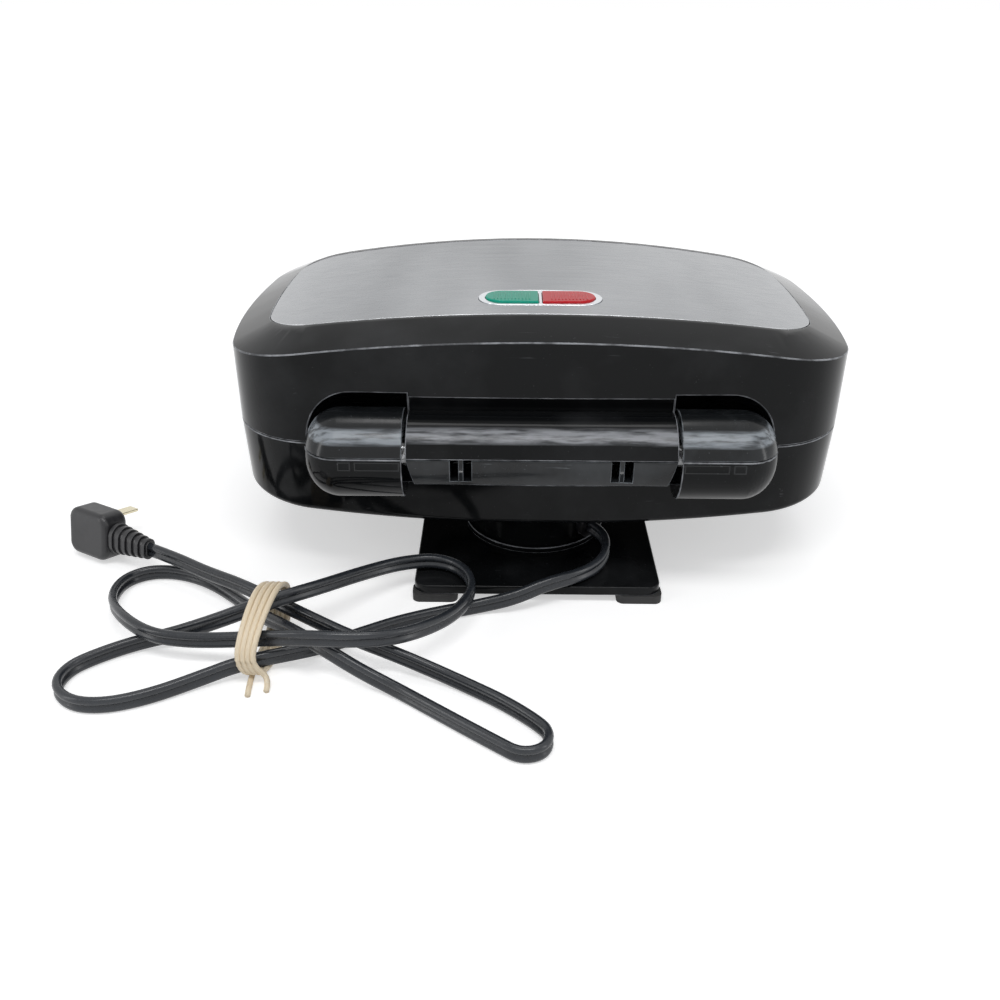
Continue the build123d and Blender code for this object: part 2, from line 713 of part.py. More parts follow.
# Saddles that hold the element off the reflector, in one group for each half
tray_floor_z = reflector_z + reflector_thickness
saddle_top_z = element_z - element_radius
with BuildPart() as lower_saddles:
    with BuildSketch(Plane((0, plate_y, tray_floor_z))):
        with Locations((element_half_width, 0), (-element_half_width, 0),
                       (element_half_width / 2, -element_half_depth),
                       (-element_half_width / 2, -element_half_depth)):
            Rectangle(3 * element_radius, 3 * element_radius)
    extrude(amount=saddle_top_z - tray_floor_z)
finish_part(lower_saddles, "lower_element_saddles", (0.6, 0.6, 0.6))
finish_part(mirrored(lower_saddles.part), "upper_element_saddles", (0.6, 0.6, 0.6))

# Screws that hold each reflector to its posts, one group for each half
with BuildPart() as lower_screws:
    with BuildSketch(Plane((0, 0, tray_floor_z))):
        with Locations(*corners(post_x, post_y)):
            Circle(screw_head_radius)
    extrude(amount=screw_head_height)
    with BuildSketch(Plane((0, 0, tray_floor_z))):
        with Locations(*corners(post_x, post_y)):
            Circle(screw_radius)
    extrude(amount=1 - screw_length)
finish_part(lower_screws, "lower_reflector_screws", (0.6, 0.6, 0.6))
finish_part(mirrored(lower_screws.part), "upper_reflector_screws", (0.6, 0.6, 0.6))

# Thermostat pressed to the lower plate, thermal fuse under the element, terminals on the floor
thermostat_top_z = plate_floor_z - plate_floor - element_gap
with BuildPart() as thermostat:
    with BuildSketch(Plane((0, plate_y, tray_floor_z))):
        Circle(thermostat_radius / 2)
    extrude(amount=thermostat_top_z - tray_floor_z)
    with BuildSketch(Plane((0, plate_y, thermostat_top_z - thermostat_height))):
        Circle(thermostat_radius)
    extrude(amount=thermostat_height)
finish_part(thermostat, "thermostat", (0.8, 0.8, 0.7))

with BuildPart() as thermal_fuse:
    fuse_z = saddle_top_z - element_gap - fuse_radius
    with BuildSketch(Plane((-fuse_length / 2, plate_y - element_half_depth, fuse_z),
                           z_dir=(1, 0, 0))):
        Circle(fuse_radius)
    extrude(amount=fuse_length)
finish_part(thermal_fuse, "thermal_fuse", (0.9, 0.9, 0.85))

(block_x, block_y, block_z) = terminal_size
with BuildPart() as terminal_block:
    with BuildSketch(Plane((0, plate_y - block_y, base_bottom_z))):
        Rectangle(block_x, block_y)
    extrude(amount=casing_wall + block_z)
    add(tub(casing_wall, casing_wall), mode=Mode.INTERSECT)
    with BuildSketch(Plane((0, plate_y - block_y, base_bottom_z + casing_wall + block_z))):
        with GridLocations(block_x / 3, 1, 3, 1):
            Circle(2 * screw_radius)
    extrude(amount=-screw_head_height, mode=Mode.SUBTRACT)
finish_part(terminal_block, "terminal_block", (0.85, 0.85, 0.8))

# Route of the cord, section by section, as points on its centre line
lead_points = [(-27.0, 70.6, 20.0), (-33.0, 76.8, 19.5), (-35.5, 84.8, 17.5), (-33.5, 93.3, 15.2),
               (-28.5, 100.8, 13.8), (-19.0, 108.3, 13.6), (-4.0, 114.8, 13.2), (10.9, 119.8, 8.5),
               (27.6, 120.2, 4.0), (46.3, 126.3, 4.0), (64.5, 133.7, 4.0), (81.0, 143.3, 4.0),
               (96.5, 154.5, 5.0)]
hank_points = [(128.6, 169.5, 8.0), (146.0, 176.5, 4.5), (163.7, 187.6, 4.0), (180.7, 194.1, 4.0),
               (195.7, 193.1, 4.0), (206.4, 183.1, 4.0), (205.4, 170.4, 4.0), (196.2, 161.2, 4.0),
               (182.2, 151.7, 4.0), (164.7, 148.0, 6.5), (143.5, 150.5, 16.0), (126.5, 151.0, 24.0),
               (113.5, 143.8, 24.6), (100.6, 132.7, 22.5), (84.8, 114.7, 18.0), (67.3, 100.0, 15.0),
               (49.0, 94.8, 13.8), (35.3, 103.6, 13.8), (30.4, 119.2, 13.8), (35.0, 135.4, 14.0),
               (44.5, 150.6, 16.0), (60.7, 166.6, 20.0), (79.0, 173.0, 23.0), (98.3, 171.9, 23.0),
               (119.2, 165.6, 18.0), (137.9, 161.8, 13.8), (155.7, 161.3, 13.2),
               (172.1, 158.0, 13.2), (188.1, 145.7, 12.8), (202.3, 125.2, 8.0), (204.9, 103.5, 4.5),
               (195.2, 93.5, 4.0), (180.2, 93.2, 4.0), (163.7, 100.2, 4.0), (148.1, 112.9, 4.0),
               (130.3, 133.8, 7.6), (111.0, 154.3, 14.5), (93.2, 168.4, 14.5), (77.5, 174.8, 8.0),
               (62.0, 181.6, 4.0), (46.3, 193.4, 4.0), (31.4, 204.6, 4.0), (18.4, 214.2, 4.0),
               (9.0, 221.0, 4.0), (-1.0, 217.8, 4.0), (-3.0, 208.0, 4.0), (4.5, 199.5, 4.0),
               (16.0, 189.5, 4.0), (29.0, 180.5, 4.0), (45.7, 171.2, 5.5), (63.3, 166.1, 10.5),
               (82.8, 159.0, 13.6), (101.2, 146.7, 13.8)]
tail_points = [(138.2, 123.2, 16.0), (160.3, 108.4, 13.6), (178.8, 95.9, 13.6),
               (194.1, 87.6, 13.6)]

# Corners of the tie band round the hank, as places across the bundle (Y, Z)
band_corners = [(171.6, 1.8), (176.6, 12.5), (168.2, 24.5), (145.7, 30.6), (126.9, 20.6),
                (125.0, 13.3), (131.2, 4.5), (141.1, 1.8)]


def halfway(first, second):
    """Middle of the straight run between two points."""
    return tuple((a + b) / 2 for (a, b) in zip(first, second))


def upright_plane(place, ahead):
    """Plane across the cord at a place, its first axis pointing up."""
    across = ahead.cross(Vector(0, 0, 1)).normalized()
    return Plane(place, x_dir=across.cross(ahead), z_dir=ahead)


cord_start = Vector(*lead_points[0])
relief_plane = upright_plane(cord_start, (Vector(*lead_points[1]) - cord_start).normalized())

# Cord drum under the base, hollow, closed below by its floor
drum_floor = foot_skin
with BuildPart() as cord_drum:
    with BuildSketch(Plane((0, drum_y, foot_top_z))):
        Circle(drum_radius)
    extrude(amount=base_bottom_z)
    with BuildSketch(Plane((0, drum_y, foot_top_z))):
        Circle(drum_radius + drum_collar)
    extrude(amount=drum_collar_height)
    with BuildSketch(Plane((0, drum_y, foot_top_z + drum_floor))):
        Circle(drum_radius - drum_wall)
    extrude(amount=base_bottom_z, mode=Mode.SUBTRACT)
    add(tub(0, 0), mode=Mode.SUBTRACT)
    with BuildSketch(relief_plane):
        SlotOverall(relief_height, relief_width)
    extrude(amount=-relief_length, mode=Mode.SUBTRACT)
    with BuildSketch(Plane((0, drum_y, foot_top_z))):
        with PolarLocations(0.6 * drum_radius, 3):
            Circle(screw_radius + screw_fit)
    extrude(amount=drum_floor, mode=Mode.SUBTRACT)
finish_part(cord_drum, "cord_drum", (0.06, 0.06, 0.07))

# Foot plate, a shallow tray turned over, with rubber pads at its corners
foot_centre_y = foot_rear_y - foot_depth / 2
foot_height = foot_top_z - foot_bottom_z
with BuildPart() as foot_plate:
    with BuildSketch(Plane((0, foot_centre_y, foot_bottom_z))):
        RectangleRounded(2 * foot_half_width, foot_depth, foot_corner_radius)
    extrude(amount=foot_height)
    fillet(foot_plate.faces().sort_by(Axis.Z)[-1].edges(), 1.0)
    with BuildSketch(Plane((0, foot_centre_y, foot_bottom_z))):
        RectangleRounded(2 * (foot_half_width - foot_wall), foot_depth - 2 * foot_wall,
                         foot_corner_radius - foot_wall)
    extrude(amount=foot_height - foot_skin, mode=Mode.SUBTRACT)
    with BuildSketch(Plane((0, drum_y, foot_bottom_z))):
        with PolarLocations(0.6 * drum_radius, 3):
            Circle(screw_radius + screw_fit)
    extrude(amount=foot_height, mode=Mode.SUBTRACT)
finish_part(foot_plate, "rear_foot_plate", (0.05, 0.05, 0.06))

with BuildPart() as foot_screws:
    with BuildSketch(Plane((0, drum_y, foot_top_z - foot_skin))):
        with PolarLocations(0.6 * drum_radius, 3):
            Circle(screw_head_radius)
    extrude(amount=-screw_head_height)
    with BuildSketch(Plane((0, drum_y, foot_top_z - foot_skin))):
        with PolarLocations(0.6 * drum_radius, 3):
            Circle(screw_radius)
    extrude(amount=foot_skin + drum_floor - 0.5)
finish_part(foot_screws, "foot_screws", (0.6, 0.6, 0.6))

with BuildPart() as foot_pads:
    pad_places = [(sx * (foot_half_width + pad_proud - pad_length / 2),
                   foot_centre_y + sy * (foot_depth / 2 + pad_proud - pad_width / 2))
                  for sx in (1, -1) for sy in (1, -1)]
    with BuildSketch():
        with Locations(*pad_places):
            RectangleRounded(pad_length, pad_width, foot_corner_radius / 2)
    extrude(amount=foot_bottom_z)
    with BuildSketch():
        with Locations(*pad_places):
            Rectangle(pad_length - 2 * foot_wall - 3, pad_width - foot_wall - 3)
    extrude(amount=foot_top_z - foot_skin)
    with BuildSketch(Plane.XY.offset(foot_bottom_z)):
        Rectangle(4 * foot_half_width, TALL)
        with Locations((0, foot_centre_y)):
            RectangleRounded(2 * (foot_half_width - foot_wall), foot_depth - 2 * foot_wall,
                             foot_corner_radius - foot_wall, mode=Mode.SUBTRACT)
    extrude(amount=foot_height, mode=Mode.SUBTRACT)
finish_part(foot_pads, "rear_foot_pads", (0.08, 0.08, 0.08))

# Front legs with rubber tips
leg_places = [(leg_x, leg_y), (-leg_x, leg_y)]
with BuildPart() as front_legs:
    with BuildSketch(Plane.XY.offset(leg_pad_height)):
        with Locations(*leg_places):
            Circle(leg_tip_radius)
    extrude(amount=base_bottom_z, taper=-4)
    add(tub(0, 0), mode=Mode.SUBTRACT)
finish_part(front_legs, "front_legs", (0.06, 0.06, 0.07))

with BuildPart() as leg_pads:
    with BuildSketch():
        with Locations(*leg_places):
            Circle(leg_pad_radius)
    extrude(amount=leg_pad_height)
    fillet(leg_pads.faces().sort_by(Axis.Z)[:2].edges(), 0.6)
finish_part(leg_pads, "front_leg_pads", (0.08, 0.08, 0.08))

# Strain relief in the drum's wall, flanged inside and ribbed outside
with BuildPart() as cord_relief:
    with BuildSketch(relief_plane):
        SlotOverall(relief_height, relief_width)
    extrude(amount=-relief_length)
    with BuildSketch(relief_plane.offset(-relief_length + 2 * relief_rib)):
        SlotOverall(relief_height + 2 * relief_rib, relief_width + 2 * relief_rib)
    extrude(amount=relief_rib)
    with BuildSketch(relief_plane.offset(-relief_rib)):
        SlotOverall(relief_height + relief_rib, relief_width + relief_rib)
    extrude(amount=relief_rib)
finish_part(cord_relief, "cord_strain_relief", (0.12, 0.12, 0.13))

# Handles: one grip on each half, notched in front for the latch
notch_width = latch_width + 2 * latch_side_gap
grip_depth = handle_reach + handle_root
latch_pin_y = handle_front_y + latch_notch / 2
latch_pin_z = seam_z + handle_seam / 2 + handle_height - latch_pin_drop
latch_pin_half = notch_width
with BuildPart() as upper_handle:
    with BuildSketch(Plane((0, handle_front_y + grip_depth / 2, seam_z + handle_seam / 2))):
        RectangleRounded(handle_width, grip_depth, 3 * handle_round)
    extrude(amount=handle_height)
    fillet(upper_handle.faces().sort_by(Axis.Z)[-1].edges(), handle_round)
    with BuildSketch(Plane((0, handle_front_y, seam_z))):
        Rectangle(notch_width, 2 * latch_notch)
    extrude(amount=TALL / 4, mode=Mode.SUBTRACT)
    with BuildSketch(Plane.YZ.offset(-latch_pin_half)):
        with Locations((latch_pin_y, latch_pin_z)):
            Circle(latch_pin_radius + pin_fit)
    extrude(amount=2 * latch_pin_half, mode=Mode.SUBTRACT)
    add(hood(0, 0), mode=Mode.SUBTRACT)
finish_part(upper_handle, "upper_handle", (0.06, 0.06, 0.07))

keeper_bottom_z = seam_z - handle_seam / 2 - keeper_height
with BuildPart() as lower_handle:
    with BuildSketch(Plane((0, handle_front_y + grip_depth / 2, seam_z - handle_seam / 2),
                           x_dir=(1, 0, 0), z_dir=(0, 0, -1))):
        RectangleRounded(handle_width, grip_depth, 3 * handle_round)
    extrude(amount=handle_height)
    fillet(lower_handle.faces().sort_by(Axis.Z)[0].edges(), handle_round)
    with BuildSketch(Plane((0, handle_front_y, keeper_bottom_z), x_dir=(1, 0, 0),
                           z_dir=(0, 0, -1))):
        Rectangle(notch_width, 2 * latch_notch)
    extrude(amount=TALL / 4, mode=Mode.SUBTRACT)
    add(tub(0, 0), mode=Mode.SUBTRACT)
finish_part(lower_handle, "lower_handle", (0.06, 0.06, 0.07))

# Latch on a pin in the upper handle, standing just clear of the keeper below it
plate_back_y = handle_front_y - latch_gap - latch_pin_y
hook_top_z = keeper_bottom_z - latch_hook_gap - latch_pin_z
latch_height = latch_top - hook_top_z + latch_hook_height + latch_tab
with BuildPart() as latch_clip:
    with BuildSketch(Plane.YZ.offset(-latch_width / 2)):
        with Locations((plate_back_y - latch_thickness / 2, latch_top - latch_height / 2)):
            RectangleRounded(latch_thickness, latch_height, latch_thickness / 2.2)
        with Locations((plate_back_y / 2 - latch_thickness / 4, 0)):
            Rectangle(-plate_back_y + latch_thickness / 2, 2 * latch_top - 1)
        Circle(latch_eye_radius)
        with Locations(((plate_back_y - latch_thickness / 2 + latch_bite + latch_gap) / 2
                        + plate_back_y / 2, hook_top_z - latch_hook_height / 2)):
            Rectangle(latch_bite + latch_gap + latch_thickness / 2, latch_hook_height)
    extrude(amount=latch_width)
    with BuildSketch(Plane.YZ.offset(-latch_width / 2)):
        Circle(latch_pin_radius + pin_fit)
    extrude(amount=latch_width, mode=Mode.SUBTRACT)
latch_clip.part = latch_clip.part.rotate(Axis.X, -latch_ajar)
latch_clip.part = latch_clip.part.moved(Location((0, latch_pin_y, latch_pin_z)))
finish_part(latch_clip, "latch_clip", (0.1, 0.1, 0.11))

with BuildPart() as latch_pin:
    with BuildSketch(Plane.YZ.offset(-latch_pin_half)):
        with Locations((latch_pin_y, latch_pin_z)):
            Circle(latch_pin_radius)
    extrude(amount=2 * latch_pin_half)
finish_part(latch_pin, "latch_pin", (0.75, 0.75, 0.75))

# Plate release: a button through the front wall, its stem and catch, and a spring
plate_front_y = plate_y - plate_half_depth
wall_sag = end_bulge_radius - sqrt(end_bulge_radius ** 2 - button_x ** 2)
lid_wall_y = front_wall_y + wall_sag
base_wall_y = lid_wall_y + button_drop * tan(radians(base_draft_angle))


def release_button(wall_y):
    """Lid's release button for a front wall at wall_y: head, flange, stem side."""
    with BuildPart() as button:
        flange_y = wall_y + casing_wall + flange_gap
        with BuildSketch(Plane((button_x, wall_y - button_proud, seam_z + button_drop),
                               x_dir=(1, 0, 0), z_dir=(0, 1, 0))):
            RectangleRounded(button_width, button_height, button_height / 3)
        extrude(amount=flange_y - wall_y + button_proud)
        fillet(button.faces().sort_by(Axis.Y)[0].edges(), 1.0)
        with BuildSketch(Plane((button_x, flange_y, seam_z + button_drop),
                               x_dir=(1, 0, 0), z_dir=(0, 1, 0))):
            Rectangle(button_width + 2 * flange_lip, button_height + 2 * flange_lip)
        extrude(amount=button_flange)
    return button


def plate_catch(wall_y):
    """Lid's catch: a stem from the button, a bar behind the plate's skirt and its nose."""
    stem_start = wall_y + casing_wall + flange_gap + button_flange
    bar_y = plate_front_y + plate_wall + catch_gap
    with BuildPart() as catch:
        with BuildSketch(Plane((button_x, stem_start, seam_z + button_drop),
                               x_dir=(1, 0, 0), z_dir=(0, 1, 0))):
            Rectangle(stem_width, stem_height)
        extrude(amount=bar_y + catch_bar - stem_start)
        bar_bottom_z = 2 * seam_z - catch_z - catch_nose / 2
        bar_top_z = seam_z + button_drop + stem_height / 2
        with BuildSketch(Plane((button_x, bar_y, (bar_bottom_z + bar_top_z) / 2),
                               x_dir=(1, 0, 0), z_dir=(0, 1, 0))):
            Rectangle(stem_width, bar_top_z - bar_bottom_z)
        extrude(amount=catch_bar)
        with BuildSketch(Plane((button_x, plate_front_y + catch_gap, 2 * seam_z - catch_z),
                               x_dir=(1, 0, 0), z_dir=(0, 1, 0))):
            Rectangle(stem_width, catch_nose)
        extrude(amount=plate_wall + catch_bar)
    return catch


def return_spring(wall_y):
    """Lid's coil spring round the stem, between the button's flange and the guide rib."""
    spring_start = wall_y + casing_wall + flange_gap + button_flange + spring_wire_radius
    spring_end = guide_y - guide_thickness / 2 - spring_wire_radius
    coil_length = spring_end - spring_start
    with BuildPart() as spring:
        with BuildLine() as coil:
            Helix(pitch=coil_length / spring_turns, height=coil_length, radius=spring_radius,
                  center=(button_x, spring_start, seam_z + button_drop), direction=(0, 1, 0))
        with BuildSketch(Plane(coil.line @ 0, z_dir=coil.line % 0)):
            Circle(spring_wire_radius)
        sweep(is_frenet=True)
    return spring


for (label, maker, colour) in (("release_button", release_button, (0.08, 0.08, 0.09)),
                               ("plate_catch", plate_catch, (0.7, 0.7, 0.7)),
                               ("button_spring", return_spring, (0.7, 0.7, 0.72))):
    finish_part(maker(lid_wall_y), f"upper_{label}", colour)
    finish_part(mirrored(maker(base_wall_y).part), f"lower_{label}", colour)


# The cord itself, one flat tube in three pieces that meet face to face
def bend_radii(points, share):
    """Radius for each inner point, so that straights and arcs alternate."""
    radii = []
    for (before, here, after) in zip(points, points[1:], points[2:]):
        run_in = Vector(*here) - Vector(*before)
        run_out = Vector(*after) - Vector(*here)
        half_turn = radians(run_in.get_angle(run_out)) / 2
        radii.append(share * min(run_in.length, run_out.length) / tan(half_turn))
    return radii


first_joint = halfway(lead_points[-1], hank_points[0])
second_joint = halfway(hank_points[-1], tail_points[0])
section_area = (cord_width - cord_thickness) * cord_thickness + pi * cord_thickness ** 2 / 4
cord_total = 0.0
for (label, points) in (("cord_lead", lead_points + [first_joint]),
                        ("cord_hank", [first_joint] + hank_points + [second_joint]),
                        ("cord_tail", [second_joint] + tail_points)):
    radii = bend_radii(points, bend_share)
    with BuildPart() as cord:
        with BuildLine() as route:
            FilletPolyline(*points, radius=radii)
        with BuildLine() as guide:
            add(route.line.moved(Location((0, 0, cord_width))))
        with BuildSketch(upright_plane(route.line @ 0, route.line % 0)):
            SlotOverall(cord_width, cord_thickness)
        sweep(path=route.wires()[0], binormal=guide.wires()[0])
    finish_part(cord, label, (0.1, 0.11, 0.13))
    run = route.wires()[0].length
    cord_total += run
    print(label, "length", round(run, 1), "volume", round(cord.part.volume, 1),
          "section times length", round(section_area * run, 1))
    print(label, "bend radii", [round(radius, 1) for radius in radii])
    if label == "cord_hank":
        hank_wire = route.wires()[0]
    if label == "cord_tail":
        plug_start = route.wires()[0] @ 1
        plug_axis = route.wires()[0] % 1
print("cord length in all", round(cord_total, 1))

# Least gap between the hank's own runs, measured on points of its centre line
sample_count = 1500
samples = [hank_wire @ (k / sample_count) for k in range(sample_count + 1)]
neighbours = int(3 * cord_width * sample_count / hank_wire.length)
least_gap = TALL
for (index, here) in enumerate(samples):
    for there in samples[index + neighbours:]:
        flat = hypot(here.X - there.X, here.Y - there.Y)
        if flat < 2 * cord_width:
            rise = max(0.0, abs(here.Z - there.Z) - (cord_width - cord_thickness))
            least_gap = min(least_gap, hypot(flat, rise) - cord_thickness)
print("hank least gap to itself", round(least_gap, 2))

# Tie band, one strand wound round the hank
band_points = [(band_start_x, band_corners[-1][0] + band_end, band_corners[0][1])]
for turn in range(band_turns):
    for (number, (y, z)) in enumerate(band_corners):
        band_x = band_start_x + band_pitch * (turn + number / len(band_corners))
        band_points.append((band_x, y, z))
(last_y, last_z) = band_corners[0]
band_points.append((band_start_x + band_pitch * band_turns, last_y + band_end, last_z))
with BuildPart() as rubber_band:
    with BuildLine() as strand:
        FilletPolyline(*band_points, radius=bend_radii(band_points, band_bend_share))
    with BuildSketch(Plane(strand.line @ 0, z_dir=strand.line % 0)):
        Circle(band_radius)
    sweep()
finish_part(rubber_band, "rubber_band", (0.85, 0.8, 0.65))

# Plug, leaned over on its narrow edge at the cord's end
toward_viewer = Vector(-plug_axis.Y, plug_axis.X, 0).normalized()
lean_up = Vector(0, 0, 1) * cos(radians(plug_lean)) - toward_viewer * sin(radians(plug_lean))
blade_way = plug_axis.cross(lean_up)
relief_slope = [(b - a) / plug_relief_length for (a, b) in zip(*plug_relief_size)]
with BuildPart() as plug_relief:
    for (distance, size) in zip((0, plug_relief_length), plug_relief_size):
        with BuildSketch(Plane(plug_start + plug_axis * distance, x_dir=lean_up,
                               z_dir=plug_axis)):
            SlotOverall(*size)
    loft()
    for rib in range(plug_ribs):
        distance = (rib + 0.5) * plug_relief_length / plug_ribs
        rib_size = [a + slope * distance + 2 * plug_rib_rise
                    for (a, slope) in zip(plug_relief_size[0], relief_slope)]
        with BuildSketch(Plane(plug_start + plug_axis * (distance - plug_rib_width / 2),
                               x_dir=lean_up, z_dir=plug_axis)):
            SlotOverall(*rib_size)
        extrude(amount=plug_rib_width)
finish_part(plug_relief, "plug_strain_relief", (0.07, 0.07, 0.08))

plug_middle = plug_start + plug_axis * (plug_relief_length + plug_length / 2)
with BuildPart() as plug_body:
    with BuildSketch(Plane(plug_middle - blade_way * plug_thickness / 2, x_dir=plug_axis,
                           z_dir=blade_way)):
        RectangleRounded(plug_length, plug_width, plug_corner)
    extrude(amount=plug_thickness)
    ends = plug_body.edges().filter_by(lambda e: abs((e @ 0 - plug_middle).dot(blade_way)
                                                     - (e @ 1 - plug_middle).dot(blade_way)) < 1)
    fillet(ends, plug_round)
finish_part(plug_body, "plug_body", (0.06, 0.06, 0.07))

with BuildPart() as plug_blades:
    with BuildSketch(Plane(plug_middle + blade_way * plug_thickness / 2, x_dir=plug_axis,
                           z_dir=blade_way)):
        with Locations((0, blade_spacing / 2), (0, -blade_spacing / 2)):
            RectangleRounded(blade_width, blade_thickness, blade_thickness / 4)
    extrude(amount=blade_length)
finish_part(plug_blades, "plug_blades", (0.8, 0.75, 0.6))
print("plug lowest point", round(plug_body.part.bounding_box().min.Z, 2))
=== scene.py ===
"""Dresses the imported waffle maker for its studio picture: finishes, cord, tie, camera and light.

Everything is in metres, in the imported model's own frame: +Z up, the grips at -Y, the hinge at +Y.
"""

import json
import logging
import math
from dataclasses import dataclass, field
from enum import Enum
from typing import ClassVar

import bmesh
import bpy
from mathutils import Matrix, Vector

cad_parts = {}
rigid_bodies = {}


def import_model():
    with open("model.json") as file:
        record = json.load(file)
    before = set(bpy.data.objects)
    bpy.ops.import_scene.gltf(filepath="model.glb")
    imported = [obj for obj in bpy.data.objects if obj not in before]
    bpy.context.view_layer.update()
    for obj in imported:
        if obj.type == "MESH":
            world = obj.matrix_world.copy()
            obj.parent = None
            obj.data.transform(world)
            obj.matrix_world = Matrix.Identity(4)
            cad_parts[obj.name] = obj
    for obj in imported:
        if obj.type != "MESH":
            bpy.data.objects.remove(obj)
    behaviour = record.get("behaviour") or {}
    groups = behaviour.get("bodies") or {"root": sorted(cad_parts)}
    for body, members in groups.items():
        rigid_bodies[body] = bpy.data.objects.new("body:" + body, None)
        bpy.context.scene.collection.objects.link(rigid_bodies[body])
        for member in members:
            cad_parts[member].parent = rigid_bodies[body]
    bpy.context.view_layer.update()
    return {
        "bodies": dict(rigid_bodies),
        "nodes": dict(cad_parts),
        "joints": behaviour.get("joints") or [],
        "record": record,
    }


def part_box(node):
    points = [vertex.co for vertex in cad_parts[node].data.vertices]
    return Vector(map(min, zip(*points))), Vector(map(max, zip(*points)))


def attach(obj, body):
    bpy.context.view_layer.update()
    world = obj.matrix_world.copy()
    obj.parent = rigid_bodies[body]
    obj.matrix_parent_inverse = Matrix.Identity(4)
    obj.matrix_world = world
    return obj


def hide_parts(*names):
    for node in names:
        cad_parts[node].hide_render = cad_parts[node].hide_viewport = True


log = logging.getLogger("waffle_maker")

MILLIMETRE = 0.001
WELD = 0.005 * MILLIMETRE
TUBE_WELD = 0.01 * MILLIMETRE
FLAT_ANGLE = math.radians(0.3)
SHARP_ANGLE = math.radians(35.0)
SMOOTH_ANGLE = math.radians(32.0)
EDGE_STEPS = 3
ROUND_TUBE_STEPS = 4
PICTURE_PIXELS = 1000
# Face attribute that marks rounded edges for their painted highlight.
EDGE_MARK = "edge_light"


class Direction(Enum):
    """Which way a brushed or drawn grain runs, as the stretch of its noise along X, Y and Z."""

    ALONG_X = (14.0, 900.0, 900.0)
    NONE = (260.0, 260.0, 260.0)


class Tree:
    """A node tree with short calls for adding and joining nodes."""

    def __init__(self, tree: bpy.types.NodeTree) -> None:
        """Start on an emptied node tree.

        Args:
            tree: The material, world or group tree to fill.
        """
        self.tree = tree
        tree.nodes.clear()

    def add(self, kind: str, **values: object) -> bpy.types.Node:
        """Add one node and set its plain properties.

        Args:
            kind: The node's type name.
            values: Properties of the node to set.

        Returns:
            The new node.
        """
        node = self.tree.nodes.new(kind)
        for name, value in values.items():
            setattr(node, name, value)
        return node

    def join(self, source: bpy.types.NodeSocket, target: bpy.types.NodeSocket) -> None:
        """Link an output socket to an input socket."""
        self.tree.links.new(source, target)

    def noise(self, vector: bpy.types.NodeSocket, scale: float, detail: float) -> bpy.types.Node:
        """Add a noise texture read at a vector.

        Args:
            vector: Where the noise is read.
            scale: Its scale.
            detail: How many finer layers it has.

        Returns:
            The noise node.
        """
        node = self.add("ShaderNodeTexNoise")
        node.inputs["Scale"].default_value = scale
        node.inputs["Detail"].default_value = detail
        self.join(vector, node.inputs["Vector"])
        return node

    def spread(
        self, value: bpy.types.NodeSocket, low: float, high: float, to_low: float, to_high: float
    ) -> bpy.types.NodeSocket:
        """Map a value from one range to another, clamped.

        Args:
            value: The value to map.
            low: Start of its range.
            high: End of its range.
            to_low: Result at the start.
            to_high: Result at the end.

        Returns:
            The mapped value.
        """
        node = self.add("ShaderNodeMapRange")
        self.join(value, node.inputs["Value"])
        for name, number in zip(("From Min", "From Max", "To Min", "To Max"),
                                (low, high, to_low, to_high)):
            node.inputs[name].default_value = number
        return node.outputs["Result"]

    def times(self, first: bpy.types.NodeSocket, second: bpy.types.NodeSocket) -> bpy.types.NodeSocket:
        """Multiply two values.

        Args:
            first: One value.
            second: The other value.

        Returns:
            The product's socket.
        """
        node = self.add("ShaderNodeMath", operation="MULTIPLY")
        self.join(first, node.inputs[0])
        self.join(second, node.inputs[1])
        return node.outputs[0]

    def blend(
        self, factor: bpy.types.NodeSocket, first: tuple[float, ...] | bpy.types.NodeSocket,
        second: tuple[float, ...]
    ) -> bpy.types.NodeSocket:
        """Mix two colours by a factor.

        Args:
            factor: How much of the second colour shows.
            first: Colour at factor 0, or a socket that gives it.
            second: Colour at factor 1.

        Returns:
            The mixed colour's socket.
        """
        node = self.add("ShaderNodeMix", data_type="RGBA")
        self.join(factor, node.inputs["Factor"])
        if isinstance(first, bpy.types.NodeSocket):
            self.join(first, node.inputs["A"])
        else:
            node.inputs["A"].default_value = (*first, 1.0)
        node.inputs["B"].default_value = (*second, 1.0)
        return node.outputs["Result"]

    def larger(self, first: bpy.types.NodeSocket, second: bpy.types.NodeSocket) -> bpy.types.NodeSocket:
        """Take the larger of two values.

        Args:
            first: One value.
            second: The other value.

        Returns:
            The larger value's socket.
        """
        node = self.add("ShaderNodeMath", operation="MAXIMUM")
        self.join(first, node.inputs[0])
        self.join(second, node.inputs[1])
        return node.outputs[0]

    def stretched(
        self, vector: bpy.types.NodeSocket, scale: tuple[float, float, float]
    ) -> bpy.types.NodeSocket:
        """Scale a vector along each axis.

        Args:
            vector: The vector.
            scale: Scale along X, Y and Z.

        Returns:
            The scaled vector's socket.
        """
        node = self.add("ShaderNodeMapping")
        node.inputs["Scale"].default_value = scale
        self.join(vector, node.inputs["Vector"])
        return node.outputs["Vector"]


